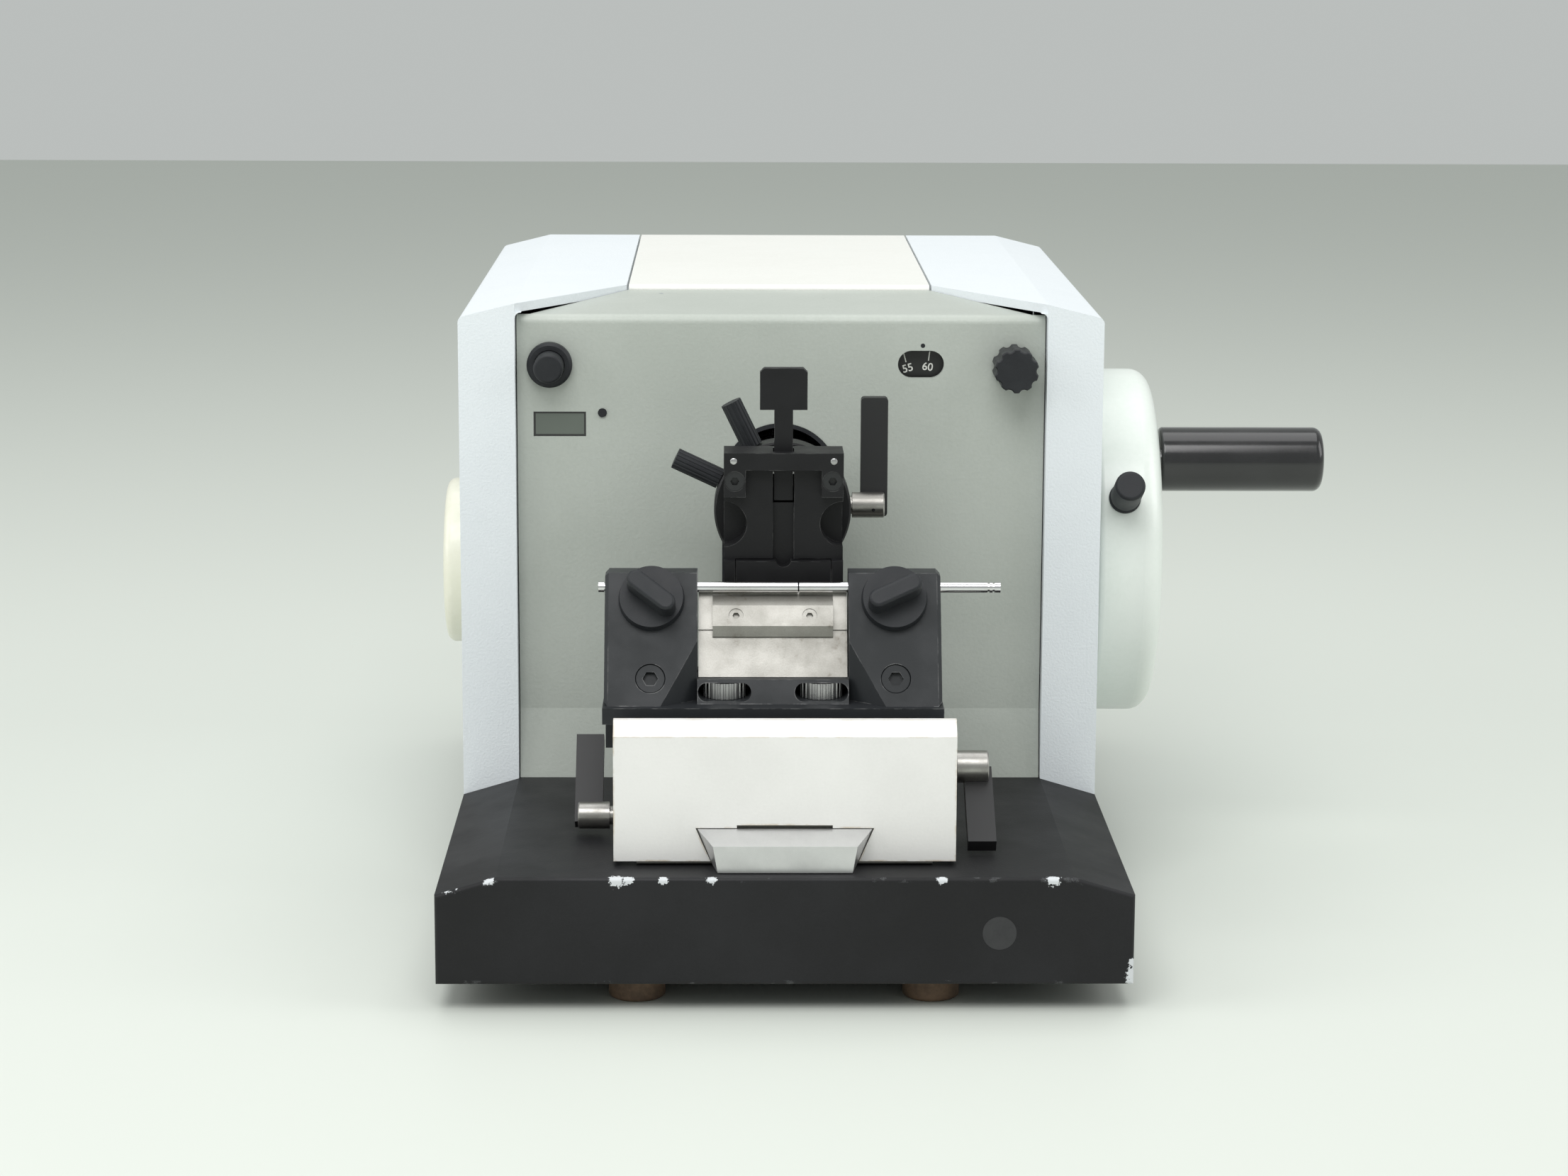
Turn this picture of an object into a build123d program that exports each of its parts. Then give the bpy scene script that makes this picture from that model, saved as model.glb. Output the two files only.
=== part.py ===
from build123d import *
import os
from math import atan2, cos, degrees, pi, radians, sin, sqrt, tan

# Rotary microtome, in millimetres. While it is modelled, X runs to the operator's right, Y to the
# back and Z up, from the middle of the housing's front on the table. At the end every piece moves
# together, so that the origin lies on the table under the middle of the whole machine.

# Driving dimensions: fits shared by several pieces
running_fit = 0.05
slide_gap = 0.1
seam_gap = 0.5
seat_gap = 0.3

# Driving dimensions: base, feet and blind plug
base_width = 290.0
base_front = -168.4
base_rear = 326.9
base_height = 45.8
base_shoulder_width = 25.4
base_shoulder_drop = 7.5
base_edge = 1.6
foot_height = 12.0
foot_radius = 12.0
foot_spread = 124.0
foot_inset = 25.4
plug_radius = 7.1
plug_x = 88.9
plug_z = 34.2
plug_depth = 5.0

# Driving dimensions: covers of the housing
cover_height = 276.3
cover_wall = 4.0
cover_shoulder_width = 25.4
cover_shoulder_drop = 6.3
front_strip_depth = 10.0
roof_half_width = 71.0
roof_front = 79.1
roof_ledge_width = 8.0
rear_cover_thickness = 4.0
cover_screw_radius = 1.9
cover_screw_head = 3.5
cover_screw_sink = 2.0
lug_height = 12.0
cover_hole_gap = 4.0

# Driving dimensions: front panel and its cut-outs
panel_y = 7.0
panel_wall = 3.0
panel_toe = 5.0
panel_crease_z = 89.3
panel_bend_drop = 5.8
panel_shelf_rise = 3.5
slot_radius = 24.6
slot_lining = 1.9
slot_top_z = 195.0
slot_low_room = 3.0
flange_width = 2.5
flange_thickness = 1.5
ring_stand = 0.5
display_x = -99.95
display_z = 220.95
display_width = 23.7
display_height = 11.3
display_glass = 2.0
board_thickness = 1.6
board_margin = 5.0
reset_x = -80.7
reset_z = 226.1
reset_radius = 1.95
reset_stand = 0.8
trim_x = -104.3
trim_z = 248.1
trim_radius = 6.7
trim_bezel_radius = 10.2
trim_bezel_depth = 5.0
scale_x = 63.1
scale_z = 248.4
scale_width = 20.8
scale_height = 12.4

# Driving dimensions: thickness knob, its gears and the scale dial
knob_x = 104.9
knob_z = 248.0
knob_radius = 9.9
knob_length = 19.0
knob_lobes = 10
knob_shaft_radius = 4.0
gear_module = 1.0
pinion_teeth = 32
dial_teeth = 64
gear_width = 5.0
dial_radius = 31.0
dial_thickness = 2.5
bracket_thickness = 3.0
post_radius = 3.5
lower_post_out = 7.0
lower_post_drop = 2.0
upper_post_in = 20.0
upper_post_rise = 15.0
far_post_in = 29.0
far_post_rise = 32.0
dial_gap = 2.0
gear_gap = 1.5
knob_gap = 1.5
lobe_radius = 2.2
lobe_out = 1.1

# Driving dimensions: drive shaft, crank, handwheel and its handle
shaft_y = 100.0
shaft_z = 151.7
shaft_radius = 10.0
bearing_radius = 16.0
bearing_width = 12.0
crank_radius = 30.0
crank_pin_radius = 5.0
crank_roller_radius = 8.0
crank_thickness = 8.0
wheel_radius = 82.0
wheel_inner_x = 147.0
wheel_outer_x = 177.0
wheel_rim = 12.0
wheel_web = 14.0
wheel_edge = 9.0
handle_radius = 15.0
handle_length = 76.0
handle_y = 60.0
handle_z = 197.0
handle_pin_radius = 5.0
lock_angle = 23.35
lock_x = 158.6
lock_knob_radius = 6.9
lock_knob_length = 22.0
lock_shank_radius = 3.5

# Driving dimensions: inner frame, guide rods and vertical carriage
frame_side_gap = 10.0
boss_gap = 15.0
bearing_wall = 8.0
shaft_room = 2.0
collar_rise = 3.0
collar_length = 5.0
frame_wall = 12.0
frame_depth = 80.0
frame_foot = 10.0
frame_bridge_z = 250.0
frame_bridge_height = 12.0
frame_bridge_depth = 40.0
guide_radius = 6.0
guide_spread = 76.0
bush_wall = 3.0
bush_length = 14.0
carriage_half_width = 52.0
carriage_depth = 56.0
carriage_height = 60.0
yoke_thickness = 6.0
yoke_width = 96.0
yoke_margin = 10.0
yoke_opening = 6.6
yoke_pad = 2.0
yoke_corner = 8.0
slot_end_room = 1.5

# Driving dimensions: horizontal feed
axis_z = 192.0
cylinder_radius = 22.0
cylinder_rear = 136.0
spindle_radius = 5.0
spindle_front = 100.0
spindle_bore_front = 66.0
thrust_y = 168.0
thrust_thickness = 8.0
feed_gear_teeth = 30
feed_gear_width = 7.0
coarse_y = 85.0
coarse_z = 144.0
coarse_radius = 39.0
coarse_width = 11.0
coarse_shaft_radius = 6.0

# Driving dimensions: specimen head, universal joint and cassette clamp
head_radius = 30.0
head_front = -53.0
head_thickness = 14.0
ball_y = -44.0
ball_radius = 10.0
ball_shell = 4.0
ball_stem_radius = 5.0
fluted_radius = 4.6
fluted_length = 21.5
fluted_grooves = 16
fluted_angles = (116.0, 155.0)
head_lever_hub_radius = 5.6
head_lever_start = 30.6
head_lever_hub_length = 14.2
head_lever_bar_x = 34.4
head_lever_width = 11.8
head_lever_thickness = 6.0
head_lever_top = 240.2
head_lever_bottom = 187.6
clamp_width = 51.4
clamp_front = -82.0
clamp_thickness = 22.5
clamp_top = 221.6
clamp_bottom = 158.4
seat_depth = 5.0
crossbar_height = 7.4
corner_width = 9.4
corner_bottom = 202.5
pocket_half_width = 20.8
jaw_top = 174.6
jaw_travel = 3.0
scallop_radius = 9.9
scallop_z = 190.0
channel_width = 9.0
clamp_screw_radius = 4.2
clamp_screw_x = 21.0
clamp_screw_z = 209.4
clamp_lever_top = 257.2
clamp_lever_head_height = 18.0
clamp_lever_head_width = 20.4
clamp_lever_stem = 8.0
clamp_lever_thickness = 5.0
clamp_lever_pivot_z = 212.0
clamp_lever_y = -71.5

# Driving dimensions: knife carrier on its rail, front box and pull
rail_width = 40.0
rail_height = 8.0
rail_front = -138.0
rail_rear = -24.0
carrier_half_width = 62.0
carrier_rear = -60.0
carrier_front = -147.0
carrier_top = 91.0
carrier_ramp_top = 108.0
carrier_step_y = -95.0
box_half_width = 71.5
box_front = -150.0
box_rear = -114.0
box_wall = 3.0
box_top = 119.2
box_bevel = 6.0
box_bottom = 60.0
box_side_top = 112.5
box_lip_rear = -141.0
box_notch_foot = 31.0
box_notch_head = 37.3
box_notch_top = 74.3
box_slit_half_width = 20.0
box_slit_height = 1.2
pull_back_half_width = 36.5
pull_front_half_width = 30.0
pull_foot_half_width = 28.0
pull_bottom = 58.2
tongue_half_width = 26.0
tongue_bottom = 59.0
tongue_rear = -141.2
pull_top = 74.0
pull_face_top = 69.5
pull_front = -162.0
tongue_thickness = 6.0
left_lever_y = -100.0
left_lever_z = 66.7
left_lever_hub = 5.8
left_lever_angle = 50.0
left_lever_length = 40.0
left_lever_flat = 2.0
right_lever_y = -100.0
right_lever_z = 88.3
right_lever_hub = 7.0
right_lever_angle = 213.5
right_lever_length = 41.0
right_lever_flat = 2.0
side_lever_start = 74.6
side_lever_hub_length = 13.6
side_lever_bar_start = 77.8
side_lever_width = 12.0
side_lever_thickness = 6.0
side_lever_tail = 2.0
side_lever_shaft_end = 42.0
side_lever_shaft = 4.0

# Driving dimensions: tilting cradle and knife holder
holder_x = -4.75
knife_edge_y = -96.5
knife_edge_z = 170.0
cradle_radius = 75.0
cradle_half_width = 50.0
cradle_top = 114.0
cradle_front = -128.0
cradle_rear = -92.0
key_width = 8.0
key_height = 3.0
key_y = -112.0
slab_thickness = 7.0
slab_front = -131.0
apron_width = 12.0
apron_front = -104.0
apron_bottom = 97.5
holder_lean = 27.0
holder_rear = -90.0
slab_half_width = 71.85
face_y = -128.0
face_z = 120.0
block_half_outer = 71.35
block_half_inner = 32.1
block_top = 173.2
block_edge = 1.6
block_cut_start = 47.65
block_cut_rise = 29.7
block_cut_low = 0.8
block_cut_foot = 9.9
block_cut_depth = 9.0
block_screw_x = 51.8
block_screw_v = 13.3
block_screw_radius = 6.3
block_screw_sink = 3.2
block_screw_shank = 3.0
block_screw_length = 12.0
wing_x = 51.5
wing_v = 48.1
wing_base_radius = 14.0
wing_base_height = 4.0
wing_height = 11.0
wing_length = 24.0
wing_width = 8.0
wing_shank_radius = 3.0
wing_shank_length = 10.0
wing_angles = (-38.0, 25.0)
rod_y = -98.5
rod_z = 166.6
rod_radius = 2.3
rod_left_end = -79.0
rod_meeting = 6.2
rod_right_end = 92.3
rod_groove_depth = 0.5
rod_groove_width = 0.9
rod_groove_places = (2.5, 4.6)
cross_setback = 4.0
cross_top = 130.6
cross_half_width = 32.0
cross_rear = -92.0
pocket_spread = 41.0
pocket_length = 22.6
pocket_low = 122.0
pocket_height = 7.2
pocket_rear = -101.8
height_wheel_y = -111.2
height_wheel_radius = 8.9
height_wheel_grooves = 24
height_stud_radius = 2.5
plate_setback = 8.0
plate_low_v = 15.9
plate_high_v = 53.7
plate_thickness = 7.0
plate_groove_v = 36.3
plate_half_width = 31.6
plate_bevel = 2.0
press_half_width = 25.6
press_thickness = 4.0
press_low_v = 33.5
press_face_low_v = 37.4
press_face_high_v = 46.5
press_high_v = 52.5
press_screw_x = 15.65
press_screw_v = 42.0
press_screw_radius = 3.1

# Driving dimensions: small features of the pieces above
rear_screw_x = 135.0
rear_screw_rise = 26.2
rear_screw_drop = 30.3
cover_screw_length = 9.0
panel_bend_radius = 4.0
trim_stem_radius = 3.4
trim_travel = 4.0
trim_length = 12.0
reset_flange_radius = 3.2
coarse_bush_wall = 4.0

wheel_gap = 1.0
wheel_hub_depth = 13.0
wheel_hub_radius = 26.0
wheel_inner_edge = 3.0
handle_cap = 14.0
lock_ring_height = 2.5
lock_travel = 5.0
thrust_post_x = 26.0
thrust_post_z = 20.0
thrust_post_radius = 4.0
head_lever_z = 193.2
head_tilt_limit = 8.0
fluted_shank = 10.0
fluted_shank_radius = 2.5
ball_stem_depth = 10.0
jaw_seat = 3.0
jaw_notch_radius = 3.4
channel_depth = 3.0
scallop_depth = 16.0
clamp_lever_bottom = 200.0
clamp_lever_swing = 3.0
clamp_lever_room = 2.5
clamp_screw_sink = 3.5
clamp_pin_radius = 1.5
clamp_pin_length = 20.0

# Levels and places that follow from the driving dimensions
base_top = foot_height + base_height
half_width = base_width / 2
panel_bend_z = cover_height - panel_bend_drop
rear_screw_levels = (base_top + rear_screw_rise, cover_height - rear_screw_drop)
strip_inner = half_width - base_shoulder_width
panel_back = panel_y + panel_wall
cover_inner = half_width - cover_wall
roof_under = cover_height - cover_wall
carriage_bottom = axis_z - carriage_height / 2
carriage_front = shaft_y - carriage_depth / 2
carriage_back = shaft_y + carriage_depth / 2
crank_pin_z = shaft_z + crank_radius
stroke = 2 * crank_radius
slot_travel = stroke + slot_low_room
crank_x = carriage_half_width + yoke_pad + yoke_thickness + yoke_pad
yoke_x = carriage_half_width + yoke_pad
frame_half_width = crank_x + crank_thickness + frame_side_gap + frame_wall
wall_inner = frame_half_width - frame_wall
boss_end = wheel_inner_x - boss_gap
roof_slant = (strip_inner - roof_half_width) / roof_front
face_plane = Plane(
    origin=(holder_x, face_y, face_z),
    x_dir=(1, 0, 0),
    z_dir=(0, -cos(radians(holder_lean)), sin(radians(holder_lean))),
)
face_axis = Axis(face_plane.origin, face_plane.z_dir)
slope_y = sin(radians(holder_lean))
slope_z = cos(radians(holder_lean))
slab_top = cradle_top + slab_thickness
face_foot_y = face_y + (slab_top - face_z) * tan(radians(holder_lean))
face_head_y = face_y + (block_top - face_z) * tan(radians(holder_lean))
lock_plane = Plane(
    origin=(lock_x, shaft_y, shaft_z),
    x_dir=(1, 0, 0),
    z_dir=(0, -cos(radians(lock_angle)), sin(radians(lock_angle))),
)
pieces = {}


def radial_plane(angle):
    """Sketch plane through the head disc's middle whose normal is a radius of the disc."""
    return Plane(
        origin=(0, head_front + head_thickness / 2, axis_z),
        x_dir=(0, 1, 0),
        z_dir=(cos(radians(angle)), 0, sin(radians(angle))),
    )


def slope_profile(x):
    """Sketch plane at width x, running up the holder's sloping face and out from it."""
    return Plane(origin=(x, face_y, face_z), x_dir=(0, slope_y, slope_z), z_dir=(1, 0, 0))


def facing_front(y):
    """Sketch plane at depth y. A positive extrusion comes towards the operator."""
    return Plane.XZ.offset(-y)


def facing_right(x):
    """Sketch plane at width x, with the machine's depth across and its height up."""
    return Plane.YZ.offset(x)


def gear_outline(teeth, tooth_turn=0.0):
    """Straight-flanked gear profile of the shared module, with backlash."""
    pitch = gear_module * teeth / 2
    root = pitch - 1.25 * gear_module
    tip = pitch + 0.95 * gear_module
    step = 360 / teeth
    corners = []
    for tooth in range(teeth):
        middle = tooth * step + tooth_turn
        for radius, share in ((root, -0.34), (tip, -0.12), (tip, 0.12), (root, 0.34)):
            angle = radians(middle + share * step)
            corners.append((radius * cos(angle), radius * sin(angle)))
    return corners


# Base casting: a heavy slab with two shallow shoulders that carry the covers
with BuildPart() as base_plate:
    with BuildSketch(facing_front(base_front)):
        with BuildLine():
            Polyline(
                (-half_width, foot_height),
                (half_width, foot_height),
                (half_width, base_top - base_shoulder_drop),
                (strip_inner, base_top),
                (-strip_inner, base_top),
                (-half_width, base_top - base_shoulder_drop),
                close=True,
            )
        make_face()
    extrude(amount=base_front - base_rear)
    fillet(base_plate.faces().sort_by(Axis.Y)[0].edges(), base_edge)
    with BuildSketch(facing_front(base_front)):
        with Locations((plug_x, plug_z)):
            Circle(plug_radius)
    extrude(amount=-plug_depth, mode=Mode.SUBTRACT)
pieces["base_plate"] = base_plate

with BuildPart() as blind_plug:
    with BuildSketch(facing_front(base_front)):
        with Locations((plug_x, plug_z)):
            Circle(plug_radius - running_fit)
    extrude(amount=-plug_depth)
pieces["blind_plug"] = blind_plug

with BuildPart() as base_feet:
    with Locations((0, (base_front + base_rear) / 2, 0)):
        with GridLocations(foot_spread, base_rear - base_front - 2 * foot_inset, 2, 2):
            Cylinder(foot_radius, foot_height, align=(Align.CENTER, Align.CENTER, Align.MIN))
    fillet(base_feet.edges().group_by(Axis.Z)[0], 1.5)
pieces["base_feet"] = base_feet


def side_cover(side, hole_y, hole_z, hole_radius):
    """One moulded side cover: outer wall, shoulder, half of the roof and the front strip."""
    shoulder_z = cover_height - cover_shoulder_drop
    inner_shoulder_z = shoulder_z - cover_wall * 0.75
    outer_edge_round = 3.0
    with BuildPart() as cover:
        with BuildSketch(facing_front(0)) as outline:
            with BuildLine():
                Polyline(
                    (side * (roof_half_width + seam_gap), cover_height),
                    (side * (half_width - cover_shoulder_width), cover_height),
                    (side * half_width, shoulder_z),
                    (side * half_width, base_top - base_shoulder_drop),
                    (side * strip_inner, base_top),
                    (side * strip_inner, roof_under),
                    (side * (roof_half_width + seam_gap), roof_under),
                    close=True,
                )
            make_face()
            fillet(
                outline.vertices().filter_by(
                    lambda corner: abs(corner.X) > strip_inner - 1 and corner.Y > shoulder_z - 1
                ),
                outer_edge_round,
            )
        extrude(amount=-base_rear)
        with BuildSketch(facing_front(front_strip_depth)):
            with BuildLine():
                Polyline(
                    (side * strip_inner, roof_under),
                    (side * cover_inner, inner_shoulder_z),
                    (side * cover_inner, foot_height),
                    (side * (strip_inner - cover_wall), foot_height),
                    (side * (strip_inner - cover_wall), roof_under),
                    close=True,
                )
            make_face()
        extrude(amount=front_strip_depth - base_rear, mode=Mode.SUBTRACT)
        with BuildSketch(Plane.XY.offset(roof_under)):
            with BuildLine():
                Polyline(
                    (side * roof_half_width, 0),
                    (side * strip_inner, 0),
                    (side * roof_half_width, roof_front),
                    close=True,
                )
            make_face()
        extrude(amount=cover_wall, mode=Mode.SUBTRACT)
        ledge_length = base_rear - rear_cover_thickness - seam_gap - roof_front - cover_wall
        with Locations((side * (roof_half_width + seam_gap), roof_front + cover_wall, roof_under)):
            Box(
                2 * roof_ledge_width,
                ledge_length,
                cover_wall,
                align=(Align.CENTER, Align.MIN, Align.MAX),
            )
        lug_back = base_rear - rear_cover_thickness
        for lug_z in rear_screw_levels:
            with Locations((side * (cover_inner - lug_height / 2), lug_back - lug_height / 2, lug_z)):
                Box(lug_height, lug_height, lug_height)
            with BuildSketch(facing_front(lug_back)):
                with Locations((side * rear_screw_x, lug_z)):
                    Circle(cover_screw_radius + running_fit)
            extrude(amount=cover_screw_length - rear_cover_thickness + 1, mode=Mode.SUBTRACT)
        with BuildSketch(facing_right(side * half_width)):
            with Locations((hole_y, hole_z)):
                Circle(hole_radius)
        extrude(amount=-side * cover_wall, mode=Mode.SUBTRACT)
    return cover


pieces["left_side_cover"] = side_cover(-1, coarse_y, coarse_z, coarse_shaft_radius + cover_hole_gap)
pieces["right_side_cover"] = side_cover(1, shaft_y, shaft_z, shaft_radius + cover_hole_gap)

# Top cover: the loose middle strip of the roof, with a rounded lip over the front panel
with BuildPart() as top_cover:
    lip_bottom = roof_under - cover_wall
    with BuildSketch(facing_right(seam_gap - roof_half_width)) as roof_profile:
        with BuildLine():
            Polyline(
                (roof_front, cover_height),
                (base_rear, cover_height),
                (base_rear, roof_under),
                (roof_front + cover_wall, roof_under),
                (roof_front + cover_wall - seam_gap, lip_bottom),
                (roof_front, lip_bottom),
                close=True,
            )
        make_face()
        fillet(roof_profile.vertices().sort_by_distance((roof_front, cover_height))[0], 2.5)
    extrude(amount=2 * (roof_half_width - seam_gap))
pieces["top_cover"] = top_cover

# Rear cover: a flat plate set into the back opening of the side covers
with BuildPart() as rear_cover:
    edge_x = cover_inner - seam_gap
    edge_drop = (edge_x - strip_inner) * base_shoulder_drop / base_shoulder_width
    upper_edge = cover_height - cover_shoulder_drop - cover_wall
    with BuildSketch(facing_front(base_rear - rear_cover_thickness)):
        with BuildLine():
            Polyline(
                (-strip_inner, base_top),
                (strip_inner, base_top),
                (edge_x, base_top - edge_drop),
                (edge_x, upper_edge),
                (strip_inner, roof_under - seam_gap),
                (-strip_inner, roof_under - seam_gap),
                (-edge_x, upper_edge),
                (-edge_x, base_top - edge_drop),
                close=True,
            )
        make_face()
    extrude(amount=-rear_cover_thickness)
    for side in (-1, 1):
        for level in rear_screw_levels:
            with BuildSketch(facing_front(base_rear)):
                with Locations((side * rear_screw_x, level)):
                    Circle(cover_screw_head + running_fit)
            extrude(amount=cover_screw_sink, mode=Mode.SUBTRACT)
            with BuildSketch(facing_front(base_rear)):
                with Locations((side * rear_screw_x, level)):
                    Circle(cover_screw_radius + running_fit)
            extrude(amount=rear_cover_thickness, mode=Mode.SUBTRACT)
pieces["rear_cover"] = rear_cover

with BuildPart() as rear_cover_screws:
    for side in (-1, 1):
        for level in rear_screw_levels:
            with BuildSketch(facing_front(base_rear)):
                with Locations((side * rear_screw_x, level)):
                    Circle(cover_screw_head)
            extrude(amount=cover_screw_sink)
            with BuildSketch(facing_front(base_rear - cover_screw_sink)):
                with Locations((side * rear_screw_x, level)):
                    Circle(cover_screw_radius)
            extrude(amount=cover_screw_length - cover_screw_sink)
pieces["rear_cover_screws"] = rear_cover_screws

# Front panel: one bent sheet, upright with a sloping toe and a shelf that runs up to the roof
with BuildPart() as front_panel:
    panel_half_width = strip_inner - seam_gap
    shelf_rear = roof_front - seam_gap
    shelf_z = panel_bend_z + panel_shelf_rise
    with BuildSketch(facing_right(-panel_half_width)) as sheet:
        with BuildLine():
            Polyline(
                (panel_y - panel_toe, base_top),
                (panel_y, panel_crease_z),
                (panel_y, panel_bend_z),
                (shelf_rear, shelf_z),
                (shelf_rear, shelf_z - panel_wall),
                (panel_back, panel_bend_z - panel_wall),
                (panel_back, panel_crease_z),
                (panel_y - panel_toe + panel_wall, base_top),
                close=True,
            )
        make_face()
        fillet(sheet.vertices().sort_by_distance((panel_y, panel_bend_z))[0], panel_bend_radius)
    extrude(amount=2 * panel_half_width)
    with BuildSketch(Plane.XY.offset(panel_bend_z - panel_wall)) as roof_corners:
        for side in (-1, 1):
            with BuildLine():
                Polyline(
                    (side * strip_inner, panel_back),
                    (side * (strip_inner - seam_gap - panel_back * roof_slant), panel_back),
                    (side * (roof_half_width - seam_gap), roof_front),
                    (side * strip_inner, roof_front),
                    close=True,
                )
            make_face()
    extrude(amount=cover_wall + panel_wall, mode=Mode.SUBTRACT)
    with BuildSketch(facing_front(panel_y - panel_toe)):
        with Locations((0, slot_top_z - slot_travel / 2)):
            SlotOverall(slot_travel + 2 * (slot_radius + slot_lining), 2 * (slot_radius + slot_lining), rotation=90)
        with Locations((display_x, display_z)):
            Rectangle(display_width, display_height)
        with Locations((scale_x, scale_z)):
            SlotOverall(scale_width, scale_height)
        with Locations((trim_x, trim_z)):
            Circle(trim_stem_radius + slide_gap)
        with Locations((reset_x, reset_z)):
            Circle(reset_radius + slide_gap)
        with Locations((knob_x, knob_z)):
            Circle(knob_shaft_radius + slide_gap)
    extrude(amount=-(panel_toe + panel_wall), mode=Mode.SUBTRACT)
pieces["front_panel"] = front_panel

with BuildPart() as slot_ring:
    lining_outer = slot_radius + slot_lining - running_fit
    flange_outer = slot_radius + slot_lining + flange_width
    with BuildSketch(facing_front(panel_y - ring_stand)):
        with Locations((0, slot_top_z - slot_travel / 2)):
            SlotOverall(slot_travel + 2 * lining_outer, 2 * lining_outer, rotation=90)
    extrude(amount=-(panel_wall + ring_stand))
    with BuildSketch(facing_front(panel_back)):
        with Locations((0, slot_top_z - slot_travel / 2)):
            SlotOverall(slot_travel + 2 * flange_outer, 2 * flange_outer, rotation=90)
    extrude(amount=-flange_thickness)
    with BuildSketch(facing_front(panel_y - ring_stand)):
        with Locations((0, slot_top_z - slot_travel / 2)):
            SlotOverall(slot_travel + 2 * slot_radius, 2 * slot_radius, rotation=90)
    extrude(amount=-(panel_wall + ring_stand + flange_thickness), mode=Mode.SUBTRACT)
pieces["slot_lining"] = slot_ring

# Section counter: the glass in the panel's window and the board behind it
with BuildPart() as counter_display:
    with BuildSketch(facing_front(panel_back - display_glass)):
        with Locations((display_x, display_z)):
            Rectangle(display_width - slide_gap, display_height - slide_gap)
    extrude(amount=-display_glass)
    board_left = display_x - display_width / 2 - board_margin
    board_right = reset_x + reset_flange_radius + board_margin
    with BuildSketch(facing_front(panel_back)):
        with Locations(((board_left + board_right) / 2, display_z)):
            Rectangle(board_right - board_left, display_height + 2 * board_margin)
        with Locations((reset_x, reset_z)):
            Circle(reset_flange_radius + seat_gap, mode=Mode.SUBTRACT)
    extrude(amount=-board_thickness)
pieces["counter_display"] = counter_display

with BuildPart() as reset_button:
    with BuildSketch(facing_front(panel_y - reset_stand)):
        with Locations((reset_x, reset_z)):
            Circle(reset_radius)
    extrude(amount=-(panel_wall + 0.8 + slide_gap))
    with BuildSketch(facing_front(panel_back + slide_gap)):
        with Locations((reset_x, reset_z)):
            Circle(reset_flange_radius)
    extrude(amount=-1.2)
pieces["reset_button"] = reset_button

# Trim knob: a smooth push knob that telescopes into a raised bezel
with BuildPart() as trim_bezel:
    with BuildSketch(facing_front(panel_y)):
        with Locations((trim_x, trim_z)):
            Circle(trim_bezel_radius)
            Circle(trim_radius + seat_gap, mode=Mode.SUBTRACT)
    extrude(amount=trim_bezel_depth)
    chamfer(trim_bezel.faces().sort_by(Axis.Y)[0].edges().sort_by(SortBy.RADIUS)[-1], 1.2)
pieces["trim_bezel"] = trim_bezel

with BuildPart() as trim_knob:
    trim_back = panel_y - trim_travel - seat_gap
    with BuildSketch(facing_front(trim_back)):
        with Locations((trim_x, trim_z)):
            Circle(trim_radius)
    extrude(amount=trim_length)
    fillet(trim_knob.faces().sort_by(Axis.Y)[0].edges(), 1.5)
    with BuildSketch(facing_front(trim_back)):
        with Locations((trim_x, trim_z)):
            Circle(trim_stem_radius)
    extrude(amount=-(trim_travel + panel_wall + 8))
    with BuildSketch(facing_front(panel_back + slide_gap)):
        with Locations((trim_x, trim_z)):
            Circle(trim_stem_radius + 2)
    extrude(amount=-1.5)
pieces["trim_knob"] = trim_knob

# Thickness setting: lobed knob and pinion on one shaft, geared two to one down to the scale dial
dial_y = panel_back + dial_gap
gear_y = dial_y + dial_thickness + gear_gap
bracket_y = gear_y + gear_width + gear_gap
gear_distance = gear_module * (pinion_teeth + dial_teeth) / 2
dial_x = scale_x + seat_gap
dial_z = knob_z - sqrt(gear_distance**2 - (knob_x - dial_x) ** 2)
mesh_turn = degrees(atan2(dial_z - knob_z, dial_x - knob_x))

with BuildPart() as thickness_knob:
    with BuildSketch(facing_front(panel_y - knob_gap)) as lobes:
        with Locations((knob_x, knob_z)):
            Circle(knob_radius)
            with PolarLocations(knob_radius + lobe_out, knob_lobes):
                Circle(lobe_radius, mode=Mode.SUBTRACT)
        fillet(lobes.vertices(), 0.6)
    extrude(amount=knob_length)
    chamfer(thickness_knob.faces().sort_by(Axis.Y)[0].edges(), 0.5)
    with BuildSketch(facing_front(panel_y - knob_gap)):
        with Locations((knob_x, knob_z)):
            Circle(knob_shaft_radius)
    extrude(amount=-(bracket_y + bracket_thickness - panel_y + knob_gap))
    with BuildSketch(Plane(origin=(knob_x, gear_y, knob_z), x_dir=(1, 0, 0), z_dir=(0, -1, 0))):
        with BuildLine():
            Polyline(*gear_outline(pinion_teeth, mesh_turn), close=True)
        make_face()
    extrude(amount=-gear_width)
pieces["thickness_knob"] = thickness_knob

with BuildPart() as thickness_dial:
    with BuildSketch(facing_front(dial_y)):
        with Locations((dial_x, dial_z)):
            Circle(dial_radius)
    extrude(amount=-dial_thickness)
    with BuildSketch(facing_front(dial_y + dial_thickness)):
        with Locations((dial_x, dial_z)):
            Circle(2 * knob_shaft_radius)
    extrude(amount=dial_y + dial_thickness - gear_y)
    with BuildSketch(Plane(origin=(dial_x, gear_y, dial_z), x_dir=(1, 0, 0), z_dir=(0, -1, 0))):
        with BuildLine():
            Polyline(*gear_outline(dial_teeth, mesh_turn + 180 / dial_teeth), close=True)
        make_face()
    extrude(amount=-gear_width)
    with BuildSketch(facing_front(gear_y + gear_width)):
        with Locations((dial_x, dial_z)):
            Circle(knob_shaft_radius)
    extrude(amount=-(bracket_y + bracket_thickness - gear_y - gear_width))
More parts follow.
